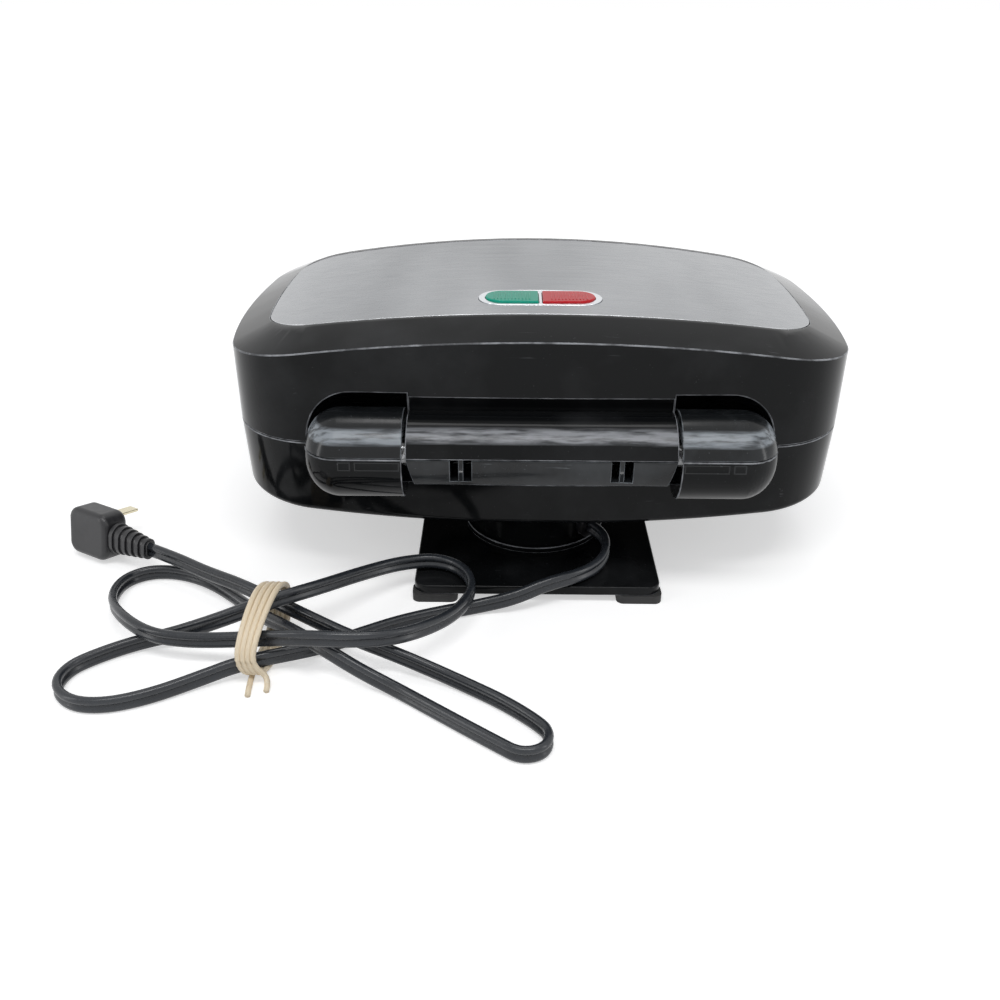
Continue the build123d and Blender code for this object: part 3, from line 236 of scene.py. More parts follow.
class SharedEffects:
    """Node groups that several finishes use, each built once.

    A range is what part of a noise is spread from 0 to 1, and a least value is how much stays where
    the noise is low.
    """

    SCRATCH_TURN = (0.3, 0.2, 0.6)
    SCRATCH_STRETCH = (40.0, 900.0, 500.0)
    SCRATCH_RANGE = (0.68, 0.74)
    SCRATCHED_SCALE = 55.0
    SCRATCHED_RANGE = (0.5, 0.68)
    RUB_SCALE = 28.0
    RUB_RANGE = (0.48, 0.72)
    SPECK_SCALE = 950.0
    SPECK_RANGE = (0.74, 0.8)
    GRAIN_RANGE = (0.3, 0.7)
    EDGE_SCALE = 140.0
    EDGE_RANGE = (0.38, 0.62)
    EDGE_LEAST = 0.3
    BELT_STRETCH = (70.0, 500.0, 500.0)
    BELT_RANGE = (0.36, 0.6)
    BELT_LEAST = 0.25

    def __init__(self) -> None:
        """Build the groups."""
        self.scuffs = self.build_scuffs()
        self.grain = self.build_grain()
        self.edges = self.build_edges()
        self.belt = self.build_belt()

    @staticmethod
    def open_group(name: str, inputs: dict[str, float], outputs: tuple[str, ...]) -> Tree:
        """Start a shader group with value sockets and an object-coordinate input vector.

        Args:
            name: The group's name.
            inputs: Input names with their defaults.
            outputs: Output names.

        Returns:
            The group's tree, emptied.
        """
        group = bpy.data.node_groups.new(name, "ShaderNodeTree")
        group.interface.new_socket("Vector", in_out="INPUT", socket_type="NodeSocketVector")
        for label, value in inputs.items():
            socket = group.interface.new_socket(label, in_out="INPUT", socket_type="NodeSocketFloat")
            socket.default_value = value
        for label in outputs:
            group.interface.new_socket(label, in_out="OUTPUT", socket_type="NodeSocketFloat")
        return Tree(group)

    def build_scuffs(self) -> bpy.types.NodeTree:
        """Hairline scratches, rubbed patches and dust specks, as masks.

        Returns:
            The group, with outputs Scratch, Rub and Speck.
        """
        made = self.open_group("scuffs_and_dust", {"Amount": 1.0}, ("Scratch", "Rub", "Speck"))
        start = made.add("NodeGroupInput")
        end = made.add("NodeGroupOutput")
        turned = made.add("ShaderNodeMapping")
        turned.inputs["Rotation"].default_value = self.SCRATCH_TURN
        turned.inputs["Scale"].default_value = self.SCRATCH_STRETCH
        made.join(start.outputs["Vector"], turned.inputs["Vector"])
        hairs = made.noise(turned.outputs["Vector"], 1.0, 2.0)
        places = made.noise(start.outputs["Vector"], self.SCRATCHED_SCALE, 3.0)
        thin = made.spread(hairs.outputs["Fac"], *self.SCRATCH_RANGE, 0.0, 1.0)
        where = made.spread(places.outputs["Fac"], *self.SCRATCHED_RANGE, 0.0, 1.0)
        scratch = made.times(made.times(thin, where), start.outputs["Amount"])
        made.join(scratch, end.inputs["Scratch"])
        patches = made.noise(start.outputs["Vector"], self.RUB_SCALE, 5.0)
        rub = made.spread(patches.outputs["Fac"], *self.RUB_RANGE, 0.0, 1.0)
        made.join(made.times(rub, start.outputs["Amount"]), end.inputs["Rub"])
        specks = made.noise(start.outputs["Vector"], self.SPECK_SCALE, 1.0)
        speck = made.spread(specks.outputs["Fac"], *self.SPECK_RANGE, 0.0, 1.0)
        made.join(made.times(speck, start.outputs["Amount"]), end.inputs["Speck"])
        return made.tree

    def build_grain(self) -> bpy.types.NodeTree:
        """Fine grain of brushed or moulded surfaces, stretched by the vector's own scale.

        Returns:
            The group, with output Fine.
        """
        made = self.open_group("surface_grain", {"Depth": 1.0}, ("Fine",))
        start = made.add("NodeGroupInput")
        end = made.add("NodeGroupOutput")
        fine = made.noise(start.outputs["Vector"], 1.0, 3.0)
        centred = made.spread(fine.outputs["Fac"], *self.GRAIN_RANGE, 0.0, 1.0)
        made.join(made.times(centred, start.outputs["Depth"]), end.inputs["Fine"])
        return made.tree

    def build_edges(self) -> bpy.types.NodeTree:
        """Painted highlight along rounded edges, broken up so that it isn't an even line.

        Returns:
            The group, with output Mask.
        """
        made = self.open_group("painted_edge_highlights", {"Edge": 0.0, "Amount": 1.0}, ("Mask",))
        start = made.add("NodeGroupInput")
        end = made.add("NodeGroupOutput")
        breaks = made.noise(start.outputs["Vector"], self.EDGE_SCALE, 4.0)
        share = made.spread(breaks.outputs["Fac"], *self.EDGE_RANGE, self.EDGE_LEAST, 1.0)
        light = made.times(made.times(start.outputs["Edge"], share), start.outputs["Amount"])
        made.join(light, end.inputs["Mask"])
        return made.tree

    def build_belt(self) -> bpy.types.NodeTree:
        """A belt of painted highlight and scuffing between two heights and past a place along Y, streaked
        along X.

        Returns:
            The group, with output Mask.
        """
        made = self.open_group("painted_highlight_and_scuff_belt", {"Low": 0.0, "High": 1.0, "Behind": -1.0,
                                               "Fade": MILLIMETRE, "Amount": 1.0}, ("Mask",))
        start = made.add("NodeGroupInput")
        end = made.add("NodeGroupOutput")
        height = made.add("ShaderNodeSeparateXYZ")
        made.join(start.outputs["Vector"], height.inputs["Vector"])
        sides = []
        for upper, lower in ((height.outputs["Z"], start.outputs["Low"]),
                             (start.outputs["High"], height.outputs["Z"]),
                             (height.outputs["Y"], start.outputs["Behind"])):
            gap = made.add("ShaderNodeMath", operation="SUBTRACT")
            made.join(upper, gap.inputs[0])
            made.join(lower, gap.inputs[1])
            share = made.add("ShaderNodeMath", operation="DIVIDE", use_clamp=True)
            made.join(gap.outputs[0], share.inputs[0])
            made.join(start.outputs["Fade"], share.inputs[1])
            sides.append(share.outputs[0])
        streaks = made.noise(made.stretched(start.outputs["Vector"], self.BELT_STRETCH), 1.0, 4.0)
        broken = made.spread(streaks.outputs["Fac"], *self.BELT_RANGE, self.BELT_LEAST, 1.0)
        inside = made.times(made.times(sides[0], sides[1]), sides[2])
        whole = made.times(inside, made.times(broken, start.outputs["Amount"]))
        made.join(whole, end.inputs["Mask"])
        return made.tree


@dataclass(frozen=True)
class Finish:
    """One surface finish, with grain, rubbed patches, scratches and dust on top of its colour, and painted
    highlights along rounded edges and in a belt.

    Attributes:
        name: The material's name.
        colour: Its clean colour.
        worn_and_highlight: Its colour where it is rubbed or scratched, which also paints highlights along
            edges and in the belt.
        roughness: Roughness of the clean surface.
        worn_roughness: Roughness of rubbed places.
        metallic: 1 for metal.
        wear: How strong scuffs and dust are.
        grain: Which way the grain runs.
        grain_depth: Height of the grain in metres.
        grain_shade: How much the grain shifts the roughness.
        transmission: 1 for glass.
        specular: Specular level of the shader.
        edge_highlight: How strongly rounded edges show the worn colour as a painted highlight.
        belt: Lowest and highest edge of a belt of painted highlight and scuffing, and where it starts
            along Y, if there is one.
        shade: A darker colour for painted reflection shade in broad soft patches, darkest in the middle of
            the sheet, if the finish has one.
    """

    name: str
    colour: tuple[float, float, float]
    worn_and_highlight: tuple[float, float, float]
    roughness: float
    worn_roughness: float
    metallic: float = 0.0
    wear: float = 1.0
    grain: Direction = Direction.NONE
    grain_depth: float = 0.00002
    grain_shade: float = 0.05
    transmission: float = 0.0
    specular: float = 0.5
    edge_highlight: float = 0.5
    belt: tuple[float, float, float] | None = None
    shade: tuple[float, float, float] | None = None

    RUB_SHARE: ClassVar[float] = 0.3
    SPECK_SHARE: ClassVar[float] = 0.6
    BELT_SHARE: ClassVar[float] = 0.85
    BELT_FADE: ClassVar[float] = 1.3 * MILLIMETRE
    SHADE_STRETCH: ClassVar[tuple[float, float, float]] = (11.0, 2.0, 2.0)
    SHADE_RANGE: ClassVar[tuple[float, float]] = (0.36, 0.62)
    SHADE_LEAST: ClassVar[float] = 0.3
    SHADE_MIDDLE: ClassVar[tuple[float, float]] = (0.05, 0.135)
    SHADE_AT_ENDS: ClassVar[float] = 0.1

    def painted_reflection_shade(self, made: Tree, place: bpy.types.NodeSocket) -> bpy.types.NodeSocket:
        """Paint reflection shade: darken the clean colour in broad patches, most in the middle of the
        sheet.

        Args:
            made: The material's tree.
            place: Object coordinates.

        Returns:
            The colour's socket.
        """
        soft = made.noise(made.stretched(place, self.SHADE_STRETCH), 1.0, 2.0)
        patch = made.spread(soft.outputs["Fac"], *self.SHADE_RANGE, self.SHADE_LEAST, 1.0)
        axes = made.add("ShaderNodeSeparateXYZ")
        made.join(place, axes.inputs["Vector"])
        aside = made.add("ShaderNodeMath", operation="ABSOLUTE")
        made.join(axes.outputs["X"], aside.inputs[0])
        middle = made.spread(aside.outputs[0], *self.SHADE_MIDDLE, 1.0, self.SHADE_AT_ENDS)
        return made.blend(made.times(patch, middle), self.colour, self.shade)

    def marked(self, made: Tree, place: bpy.types.NodeSocket, effects: SharedEffects,
               scuffs: bpy.types.Node) -> bpy.types.NodeSocket:
        """Gather scratches, rubbed patches, painted edge highlights and the painted highlight belt in one
        mask.

        Args:
            made: The material's tree.
            place: Object coordinates.
            effects: The shared node groups.
            scuffs: The scuffs group's node.

        Returns:
            The mask's socket.
        """
        marks = made.larger(scuffs.outputs["Scratch"],
                            made.spread(scuffs.outputs["Rub"], 0.0, 1.0, 0.0, self.RUB_SHARE))
        edge = made.add("ShaderNodeAttribute", attribute_name=EDGE_MARK)
        # Painted highlight along the marked rounded edges.
        worn_and_highlight = made.add("ShaderNodeGroup", node_tree=effects.edges)
        worn_and_highlight.inputs["Amount"].default_value = self.edge_highlight
        made.join(place, worn_and_highlight.inputs["Vector"])
        made.join(edge.outputs["Fac"], worn_and_highlight.inputs["Edge"])
        marks = made.larger(marks, worn_and_highlight.outputs["Mask"])
        # Painted highlight belt across the hinge barrel, with some scuffing.
        if self.belt is not None:
            belt = made.add("ShaderNodeGroup", node_tree=effects.belt)
            for label, value in (("Low", self.belt[0]), ("High", self.belt[1]),
                                 ("Behind", self.belt[2]), ("Fade", self.BELT_FADE),
                                 ("Amount", self.BELT_SHARE)):
                belt.inputs[label].default_value = value
            made.join(place, belt.inputs["Vector"])
            marks = made.larger(marks, belt.outputs["Mask"])
        return marks

    def material(self, effects: SharedEffects) -> bpy.types.Material:
        """Build the material, or give the one already built.

        Args:
            effects: The shared node groups.

        Returns:
            The material.
        """
        label = f"{self.name}_finish"
        ready = bpy.data.materials.get(label)
        if ready is not None:
            return ready
        material = bpy.data.materials.new(label)
        material.use_nodes = True
        made = Tree(material.node_tree)
        place = made.add("ShaderNodeTexCoord").outputs["Object"]
        shader = made.add("ShaderNodeBsdfPrincipled")
        scuffs = made.add("ShaderNodeGroup", node_tree=effects.scuffs)
        scuffs.inputs["Amount"].default_value = self.wear
        made.join(place, scuffs.inputs["Vector"])
        grain = made.add("ShaderNodeGroup", node_tree=effects.grain)
        made.join(made.stretched(place, self.grain.value), grain.inputs["Vector"])
        marks = self.marked(made, place, effects, scuffs)
        dust = made.spread(scuffs.outputs["Speck"], 0.0, 1.0, 0.0, self.SPECK_SHARE)
        # The worn colour shows dust and wear, and is also the painted highlight on edges and in the belt.
        dust_wear_and_highlight = made.larger(marks, dust)
        # On the panel the clean colour carries painted reflection shade.
        clean = self.painted_reflection_shade(made, place) if self.shade else self.colour
        made.join(made.blend(dust_wear_and_highlight, clean, self.worn_and_highlight), shader.inputs["Base Color"])
        rough = made.add("ShaderNodeMath", operation="ADD")
        made.join(made.spread(marks, 0.0, 1.0, self.roughness, self.worn_roughness), rough.inputs[0])
        made.join(made.spread(grain.outputs["Fine"], 0.0, 1.0, -self.grain_shade, self.grain_shade),
                  rough.inputs[1])
        made.join(rough.outputs[0], shader.inputs["Roughness"])
        bump = made.add("ShaderNodeBump")
        bump.inputs["Distance"].default_value = self.grain_depth
        bump.inputs["Strength"].default_value = 1.0
        made.join(grain.outputs["Fine"], bump.inputs["Height"])
        made.join(bump.outputs["Normal"], shader.inputs["Normal"])
        for socket, value in (("Metallic", self.metallic), ("Transmission Weight", self.transmission),
                              ("Specular IOR Level", self.specular)):
            shader.inputs[socket].default_value = value
        output = made.add("ShaderNodeOutputMaterial")
        made.join(shader.outputs["BSDF"], output.inputs["Surface"])
        return material


# The belts and edge values below paint highlights: a band across the hinge barrel and lines along rounded
# edges.
GLOSS_BLACK = Finish("gloss_black_case", (0.0045, 0.005, 0.0055), (0.3, 0.31, 0.33), 0.1, 0.28,
                     wear=0.12, grain_depth=0.000004, grain_shade=0.02, specular=0.13, edge_highlight=1.0,
                     belt=(0.0876, 0.0936, 0.107))
HINGE_BLACK = Finish("moulded_black_hinge", (0.007, 0.008, 0.009), (0.3, 0.33, 0.36), 0.18, 0.36,
                     wear=0.3, grain_depth=0.000006, grain_shade=0.03, specular=0.3, edge_highlight=0.4,
                     belt=(0.0872, 0.0938, 0.0))
SATIN_BLACK = Finish("satin_black_grip", (0.012, 0.012, 0.013), (0.07, 0.07, 0.074), 0.34, 0.5,
                     wear=0.5, grain_depth=0.00002, grain_shade=0.05, specular=0.35)
# The panel's shade is painted reflection shade, darkest in its middle.
BRUSHED_PANEL = Finish("brushed_steel_panel", (0.43, 0.44, 0.455), (0.6, 0.61, 0.63), 0.28, 0.34,
                       metallic=1.0, wear=0.25, grain=Direction.ALONG_X, grain_depth=0.000003,
                       grain_shade=0.08, edge_highlight=1.0, shade=(0.15, 0.158, 0.17))
PALE_RIM = Finish("pale_dished_rim", (0.72, 0.74, 0.77), (0.8, 0.81, 0.83), 0.22, 0.35,
                  metallic=1.0, wear=0.3, grain_depth=0.000003)
GREEN_LENS = Finish("green_ribbed_lens", (0.0, 0.3, 0.2), (0.02, 0.5, 0.38), 0.16, 0.25,
                    wear=0.3, grain_depth=0.000005, specular=0.15)
RED_LENS = Finish("red_ribbed_lens", (0.5, 0.008, 0.015), (0.7, 0.06, 0.06), 0.16, 0.25,
                  wear=0.3, grain_depth=0.000005, specular=0.15)
LAMP_GLASS = Finish("neon_lamp_glass", (0.95, 0.85, 0.75), (0.95, 0.9, 0.85), 0.05, 0.1, wear=0.1,
                    transmission=1.0)
WHITE_INSULATOR = Finish("white_insulator", (0.74, 0.73, 0.68), (0.6, 0.58, 0.52), 0.5, 0.6, wear=0.7)
COATED_PLATE = Finish("coated_cast_plate", (0.022, 0.022, 0.024), (0.08, 0.08, 0.082), 0.42, 0.3,
                      metallic=0.2, wear=0.7, grain_depth=0.00003, grain_shade=0.1)
DARK_ENAMEL = Finish("dark_deck_enamel", (0.03, 0.031, 0.034), (0.09, 0.09, 0.095), 0.3, 0.45, wear=0.8)
ELEMENT_SHEATH = Finish("heat_dulled_sheath", (0.16, 0.155, 0.15), (0.3, 0.26, 0.22), 0.45, 0.6,
                        metallic=0.9, wear=1.0, grain_depth=0.00002)
BRIGHT_SHEET = Finish("aluminised_sheet", (0.7, 0.7, 0.71), (0.52, 0.5, 0.47), 0.32, 0.5,
                      metallic=1.0, wear=0.9, grain_depth=0.00001)
PLATED_STEEL = Finish("plated_steel", (0.66, 0.67, 0.69), (0.5, 0.49, 0.47), 0.24, 0.42,
                      metallic=1.0, wear=0.7, grain_depth=0.000008)
FOOT_RUBBER = Finish("foot_rubber", (0.022, 0.022, 0.023), (0.09, 0.088, 0.085), 0.72, 0.85, wear=1.0,
                     grain_depth=0.00005)
CORD_JACKET = Finish("flat_cord_jacket", (0.018, 0.021, 0.026), (0.1, 0.11, 0.125), 0.27, 0.42, wear=0.4,
                     grain_depth=0.000008)
BAND_RUBBER = Finish("cream_band_rubber", (0.8, 0.68, 0.5), (0.86, 0.78, 0.64), 0.5, 0.65, wear=0.8,
                     grain_depth=0.00003)
PLUG_BLACK = Finish("moulded_plug", (0.014, 0.014, 0.016), (0.1, 0.1, 0.105), 0.36, 0.5, wear=0.6,
                    grain_depth=0.00002)
PLUG_METAL = Finish("plug_blade_metal", (0.72, 0.66, 0.48), (0.55, 0.5, 0.4), 0.25, 0.4, metallic=1.0,
                    wear=0.8, grain=Direction.ALONG_X, grain_depth=0.000008)


def finished_mesh(work: bmesh.types.BMesh, name: str) -> bpy.types.Mesh:
    """Turn a bmesh into a mesh and free it.

    Args:
        work: The bmesh.
        name: Name of the mesh.

    Returns:
        The mesh.
    """
    mesh = bpy.data.meshes.new(name)
    work.to_mesh(mesh)
    work.free()
    return mesh


@dataclass
class Dresser:
    """Puts finishes on CAD nodes and on new pieces.

    Attributes:
        effects: The shared node groups.
    """

    frame: dict
    effects: SharedEffects = field(default_factory=SharedEffects)

    def body_of(self, node: str) -> str:
        """Name the body that a CAD node rides on."""
        bodies = self.frame["record"]["behaviour"]["bodies"]
        return next(body for body, nodes in bodies.items() if node in nodes)

    def slot_of(self, node: str) -> str:
        """Name the record's material slot of a CAD node."""
        rows = self.frame["record"]["subparts"]
        return next(row["material_slot"] for row in rows if row["node"] == node)

    def round_off(self, finish: Finish, width: float, *nodes: str) -> None:
        """Show CAD nodes as copies with rounded edges, marked for a painted highlight.

        Args:
            finish: The finish of the copies.
            width: How wide each convex edge is rounded.
            nodes: Names of the nodes that the copies stand for.
        """
        for node in nodes:
            work = bmesh.new()
            work.from_mesh(self.frame["nodes"][node].data)
            mark = work.faces.layers.float.new(EDGE_MARK)
            bmesh.ops.remove_doubles(work, verts=work.verts, dist=WELD)
            bmesh.ops.dissolve_limit(work, angle_limit=FLAT_ANGLE, verts=work.verts, edges=work.edges)
            sharp = [edge for edge in work.edges
                     if edge.is_convex and edge.calc_face_angle(0.0) > SHARP_ANGLE]
            rounded = bmesh.ops.bevel(
                work, geom=sharp, offset=width, offset_type="OFFSET", segments=EDGE_STEPS, profile=0.5,
                affect="EDGES", material=-1, clamp_overlap=False, loop_slide=False)
            # The rounded faces get the painted edge highlight.
            for face in rounded["faces"]:
                face[mark] = 1.0
            mesh = finished_mesh(work, f"{node}_rounded")
            piece = self.place(f"{node}_rounded", mesh, finish, self.body_of(node),
                               self.slot_of(node), (node,))
            mesh.set_sharp_from_angle(angle=SMOOTH_ANGLE)
            level = piece.modifiers.new("even_light", "WEIGHTED_NORMAL")
            level.keep_sharp = True

    def paint(self, finish: Finish, *nodes: str) -> None:
        """Give CAD nodes a finish.

        Args:
            finish: The finish.
            nodes: Names of the nodes.
        """
        for node in nodes:
            piece = self.frame["nodes"][node]
            self.coat(finish, piece)
            log.info("%s finished as %s", node, finish.name)

    def coat(self, finish: Finish, piece: bpy.types.Object) -> None:
        """Put a finish in every slot of a piece.

        Args:
            finish: The finish.
            piece: The object.
        """
        material = finish.material(self.effects)
        if not piece.data.materials:
            piece.data.materials.append(material)
        for number in range(len(piece.data.materials)):
            piece.data.materials[number] = material

    def place(
        self, name: str, mesh: bpy.types.Mesh, finish: Finish, body: str, slot: str,
        stands_for: tuple[str, ...] = ()
    ) -> bpy.types.Object:
        """Add a new piece to the scene, dressed and riding on its body.

        Args:
            name: The piece's name.
            mesh: Its mesh, already in place.
            finish: Its finish.
            body: The CAD body that it rides on.
            slot: The record's material slot; not used.
            stands_for: CAD nodes that it replaces.

        Returns:
            The object.
        """
        piece = bpy.data.objects.new(name, mesh)
        bpy.context.scene.collection.objects.link(piece)
        self.coat(finish, piece)
        for polygon in mesh.polygons:
            polygon.use_smooth = True
        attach(piece, body)
        if stands_for:
            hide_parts(*stands_for)
        log.info("%s added to %s", name, body)
        return piece


def smooth_line(points: list[Vector], resolution: int) -> bpy.types.Object:
    """Lay a NURBS line of order 3 through control points.

    Args:
        points: Its control points.
        resolution: Steps for each control point.

    Returns:
        The curve object, without thickness.
    """
    curve = bpy.data.curves.new("route", "CURVE")
    curve.dimensions = "3D"
    curve.resolution_u = resolution
    spline = curve.splines.new("NURBS")
    spline.points.add(len(points) - 1)
    for control, point in zip(spline.points, points):
        control.co = (*point, 1.0)
    spline.order_u = 3
    spline.use_endpoint_u = True
    line = bpy.data.objects.new("route", curve)
    bpy.context.scene.collection.objects.link(line)
    return line


def read_line(line: bpy.types.Object) -> list[Vector]:
    """Give the points along a curve that has no thickness.

    Args:
        line: The curve object.

    Returns:
        Its points, in order.
    """
    mesh = bpy.data.meshes.new_from_object(line)
    points = [vertex.co.copy() for vertex in mesh.vertices]
    bpy.data.meshes.remove(mesh)
    return points


def closed_section(outline: list[tuple[float, float]]) -> bpy.types.Object:
    """Make a closed outline for a tube's section.

    Args:
        outline: Its corners, first axis across the tube and second axis up it.

    Returns:
        The outline as a curve object.
    """
    curve = bpy.data.curves.new("section", "CURVE")
    curve.dimensions = "2D"
    curve.fill_mode = "NONE"
    spline = curve.splines.new("POLY")
    spline.points.add(len(outline) - 1)
    for control, (across, up) in zip(spline.points, outline):
        control.co = (across, up, 0.0, 1.0)
    spline.use_cyclic_u = True
    section = bpy.data.objects.new("section", curve)
    bpy.context.scene.collection.objects.link(section)
    return section


def tube_mesh(line: bpy.types.Object, name: str, section: bpy.types.Object | None = None,
              radius: float = 0.0) -> bpy.types.Mesh:
    """Turn a line into a capped tube, then remove the line and its section.

    Args:
        line: The curve object to thicken.
        name: Name of the mesh.
        section: Outline of the tube, kept upright along the line.
        radius: Radius of a round tube where there is no section.

    Returns:
        The tube's mesh.
    """
    curve = line.data
    curve.twist_mode = "Z_UP"
    curve.use_fill_caps = True
    if section is None:
        curve.bevel_depth = radius
        curve.bevel_resolution = ROUND_TUBE_STEPS
    else:
        curve.bevel_mode = "OBJECT"
        curve.bevel_object = section
    bpy.context.view_layer.update()
    ready = line.evaluated_get(bpy.context.evaluated_depsgraph_get())
    mesh = bpy.data.meshes.new_from_object(ready)
    mesh.name = name
    mesh.materials.clear()
    for part in filter(None, (line, section)):
        bpy.data.objects.remove(part)
    work = bmesh.new()
    work.from_mesh(mesh)
    bmesh.ops.remove_doubles(work, verts=work.verts, dist=TUBE_WELD)
    bmesh.ops.recalc_face_normals(work, faces=work.faces)
    work.to_mesh(mesh)
    work.free()
    return mesh


@dataclass
class PowerCord:
    """The flat two-core cord, tied in a loose hank behind the appliance.

    Attributes:
        width: Width of the flat section, which stands upright.
        thickness: Thickness of the flat section.
        web_angle: How far each core's round side runs towards the web between the cores, in degrees.
        side_steps: Steps round each core's side.
        resolution: Steps of its smooth line for each control point.
        route: Control points from the strain relief to the plug.
    """

    width: float = 7.8 * MILLIMETRE
    thickness: float = 3.9 * MILLIMETRE
    web_angle: float = 66.0
    side_steps: int = 9
    resolution: int = 6
    route: tuple[tuple[float, float, float], ...] = (
        (-0.0270, 0.0706, 0.0200), (-0.0330, 0.0768, 0.0195), (-0.0355, 0.0848, 0.0175),
        (-0.0335, 0.0933, 0.0152), (-0.0285, 0.1008, 0.0138), (-0.0190, 0.1083, 0.0136),
        (-0.0040, 0.1148, 0.0132), (0.0109, 0.1198, 0.0085), (0.0276, 0.1202, 0.0040),
        (0.0463, 0.1263, 0.0040), (0.0645, 0.1337, 0.0040), (0.0810, 0.1433, 0.0040),
        (0.0965, 0.1545, 0.0050), (0.1286, 0.1695, 0.0080), (0.1460, 0.1765, 0.0045),
        (0.1637, 0.1876, 0.0040), (0.1807, 0.1941, 0.0040), (0.1957, 0.1931, 0.0040),
        (0.2064, 0.1831, 0.0040), (0.2054, 0.1704, 0.0040), (0.1962, 0.1612, 0.0040),
        (0.1822, 0.1517, 0.0040), (0.1647, 0.1480, 0.0065), (0.1435, 0.1505, 0.0160),
        (0.1265, 0.1510, 0.0240), (0.1135, 0.1438, 0.0246), (0.1006, 0.1327, 0.0225),
        (0.0848, 0.1147, 0.0180), (0.0673, 0.1000, 0.0150), (0.0490, 0.0948, 0.0138),
        (0.0353, 0.1036, 0.0138), (0.0304, 0.1192, 0.0138), (0.0350, 0.1354, 0.0140),
        (0.0445, 0.1506, 0.0160), (0.0607, 0.1666, 0.0200), (0.0790, 0.1730, 0.0230),
        (0.0983, 0.1719, 0.0230), (0.1192, 0.1656, 0.0180), (0.1379, 0.1618, 0.0138),
        (0.1557, 0.1613, 0.0132), (0.1721, 0.1580, 0.0132), (0.1881, 0.1457, 0.0128),
        (0.2023, 0.1252, 0.0080), (0.2049, 0.1035, 0.0045), (0.1952, 0.0935, 0.0040),
        (0.1802, 0.0932, 0.0040), (0.1637, 0.1002, 0.0040), (0.1481, 0.1129, 0.0040),
        (0.1303, 0.1338, 0.0076), (0.1110, 0.1543, 0.0145), (0.0932, 0.1684, 0.0145),
        (0.0775, 0.1748, 0.0080), (0.0620, 0.1816, 0.0040), (0.0463, 0.1934, 0.0040),
        (0.0314, 0.2046, 0.0040), (0.0184, 0.2142, 0.0040), (0.0090, 0.2210, 0.0040),
        (-0.0010, 0.2178, 0.0040), (-0.0030, 0.2080, 0.0040), (0.0045, 0.1995, 0.0040),
        (0.0160, 0.1895, 0.0040), (0.0290, 0.1805, 0.0040), (0.0457, 0.1712, 0.0055),
        (0.0633, 0.1661, 0.0105), (0.0828, 0.1590, 0.0136), (0.1012, 0.1467, 0.0138),
        (0.1382, 0.1232, 0.0160), (0.1603, 0.1084, 0.0136), (0.1788, 0.0959, 0.0136),
        (0.1941, 0.0876, 0.0136),
    )

    def outline(self) -> list[tuple[float, float]]:
        """Give the two-lobed section, with a groove between its cores.

        Returns:
            Corners of the section.
        """
        core = self.thickness / 2
        centre = self.width / 2 - core
        corners = []
        for side in (1, -1):
            for step in range(self.side_steps + 1):
                angle = math.radians(-self.web_angle + (180 + 2 * self.web_angle) * step / self.side_steps)
                corners.append((side * core * math.cos(angle),
                                side * (centre + core * math.sin(angle))))
        return corners

    def build(self, dresser: Dresser, pieces: list[str]) -> bpy.types.Object:
        """Args:
            dresser: Puts finishes on.
            pieces: Names of the pieces on the cord; not used.

        Returns:
            The cord.
        """
        points = [Vector(place) for place in self.route]
        line = smooth_line(points, self.resolution)
        path = read_line(line)
        mesh = tube_mesh(line, "power_cord", section=closed_section(self.outline()))
        cord = dresser.place("power_cord", mesh, CORD_JACKET, "base", "cord_jacket",
                             ("cord_lead", "cord_hank", "cord_tail"))
        return cord


@dataclass
class TieBand:
    """Rubber band wound round the hank.

    Attributes:
        radius: Radius of its strand.
        turns: How many turns it has.
        resolution: Steps of its smooth line for each control point.
        loop: Corners of a turn: middle of the strands along X, then Y and Z, and the strands' spread.
        ends: Where its two loose ends lie.
    """

    radius: float = 1.3 * MILLIMETRE
    turns: int = 4
    resolution: int = 5
    loop: tuple[tuple[float, float, float, float], ...] = (
        (0.1210, 0.1718, 0.0016, 0.0025), (0.1268, 0.1770, 0.0125, 0.0021),
        (0.1243, 0.1685, 0.0247, 0.0024), (0.1215, 0.1457, 0.0309, 0.0029),
        (0.1210, 0.1266, 0.0208, 0.0026), (0.1210, 0.1247, 0.0133, 0.0025),
        (0.1210, 0.1310, 0.0043, 0.0025), (0.1210, 0.1411, 0.0015, 0.0025),
    )
    ends: tuple[tuple[float, float, float], ...] = (
        (0.1172, 0.1805, 0.0013), (0.1245, 0.1835, 0.0013),
    )

    def build(self, dresser: Dresser) -> bpy.types.Object:
        """Make the band in place of its CAD solid.

        Args:
            dresser: Puts finishes on.

        Returns:
            The band.
        """
        points = [Vector(self.ends[0])]
        for turn in range(self.turns):
            for middle, y, z, spread in self.loop:
                points.append(Vector((middle + spread * (turn - (self.turns - 1) / 2), y, z)))
        middle, y, z, spread = self.loop[0]
        points.append(Vector((middle + spread * self.turns / 2, y, z)))
        points.append(Vector(self.ends[1]))
        mesh = tube_mesh(smooth_line(points, self.resolution), "rubber_band", radius=self.radius)
        return dresser.place("tie_band", mesh, BAND_RUBBER, "base", "band_rubber", ("rubber_band",))


@dataclass
class Lid:
    """Domed lid with its brushed panel and inner pieces.

    Attributes:
        edge: How wide the casing's edges are rounded.
        panel_edge: How wide the panel's edges are rounded.
    """

    edge: float = 0.5 * MILLIMETRE
    panel_edge: float = 0.25 * MILLIMETRE

    def dress(self, dresser: Dresser) -> None:
        """Finish the lid's pieces.

        Args:
            dresser: Puts finishes on.
        """
        dresser.round_off(GLOSS_BLACK, self.edge, "lid_shell")
        dresser.round_off(BRUSHED_PANEL, self.panel_edge, "lid_steel_panel")
        dresser.paint(DARK_ENAMEL, "upper_deck_frame")


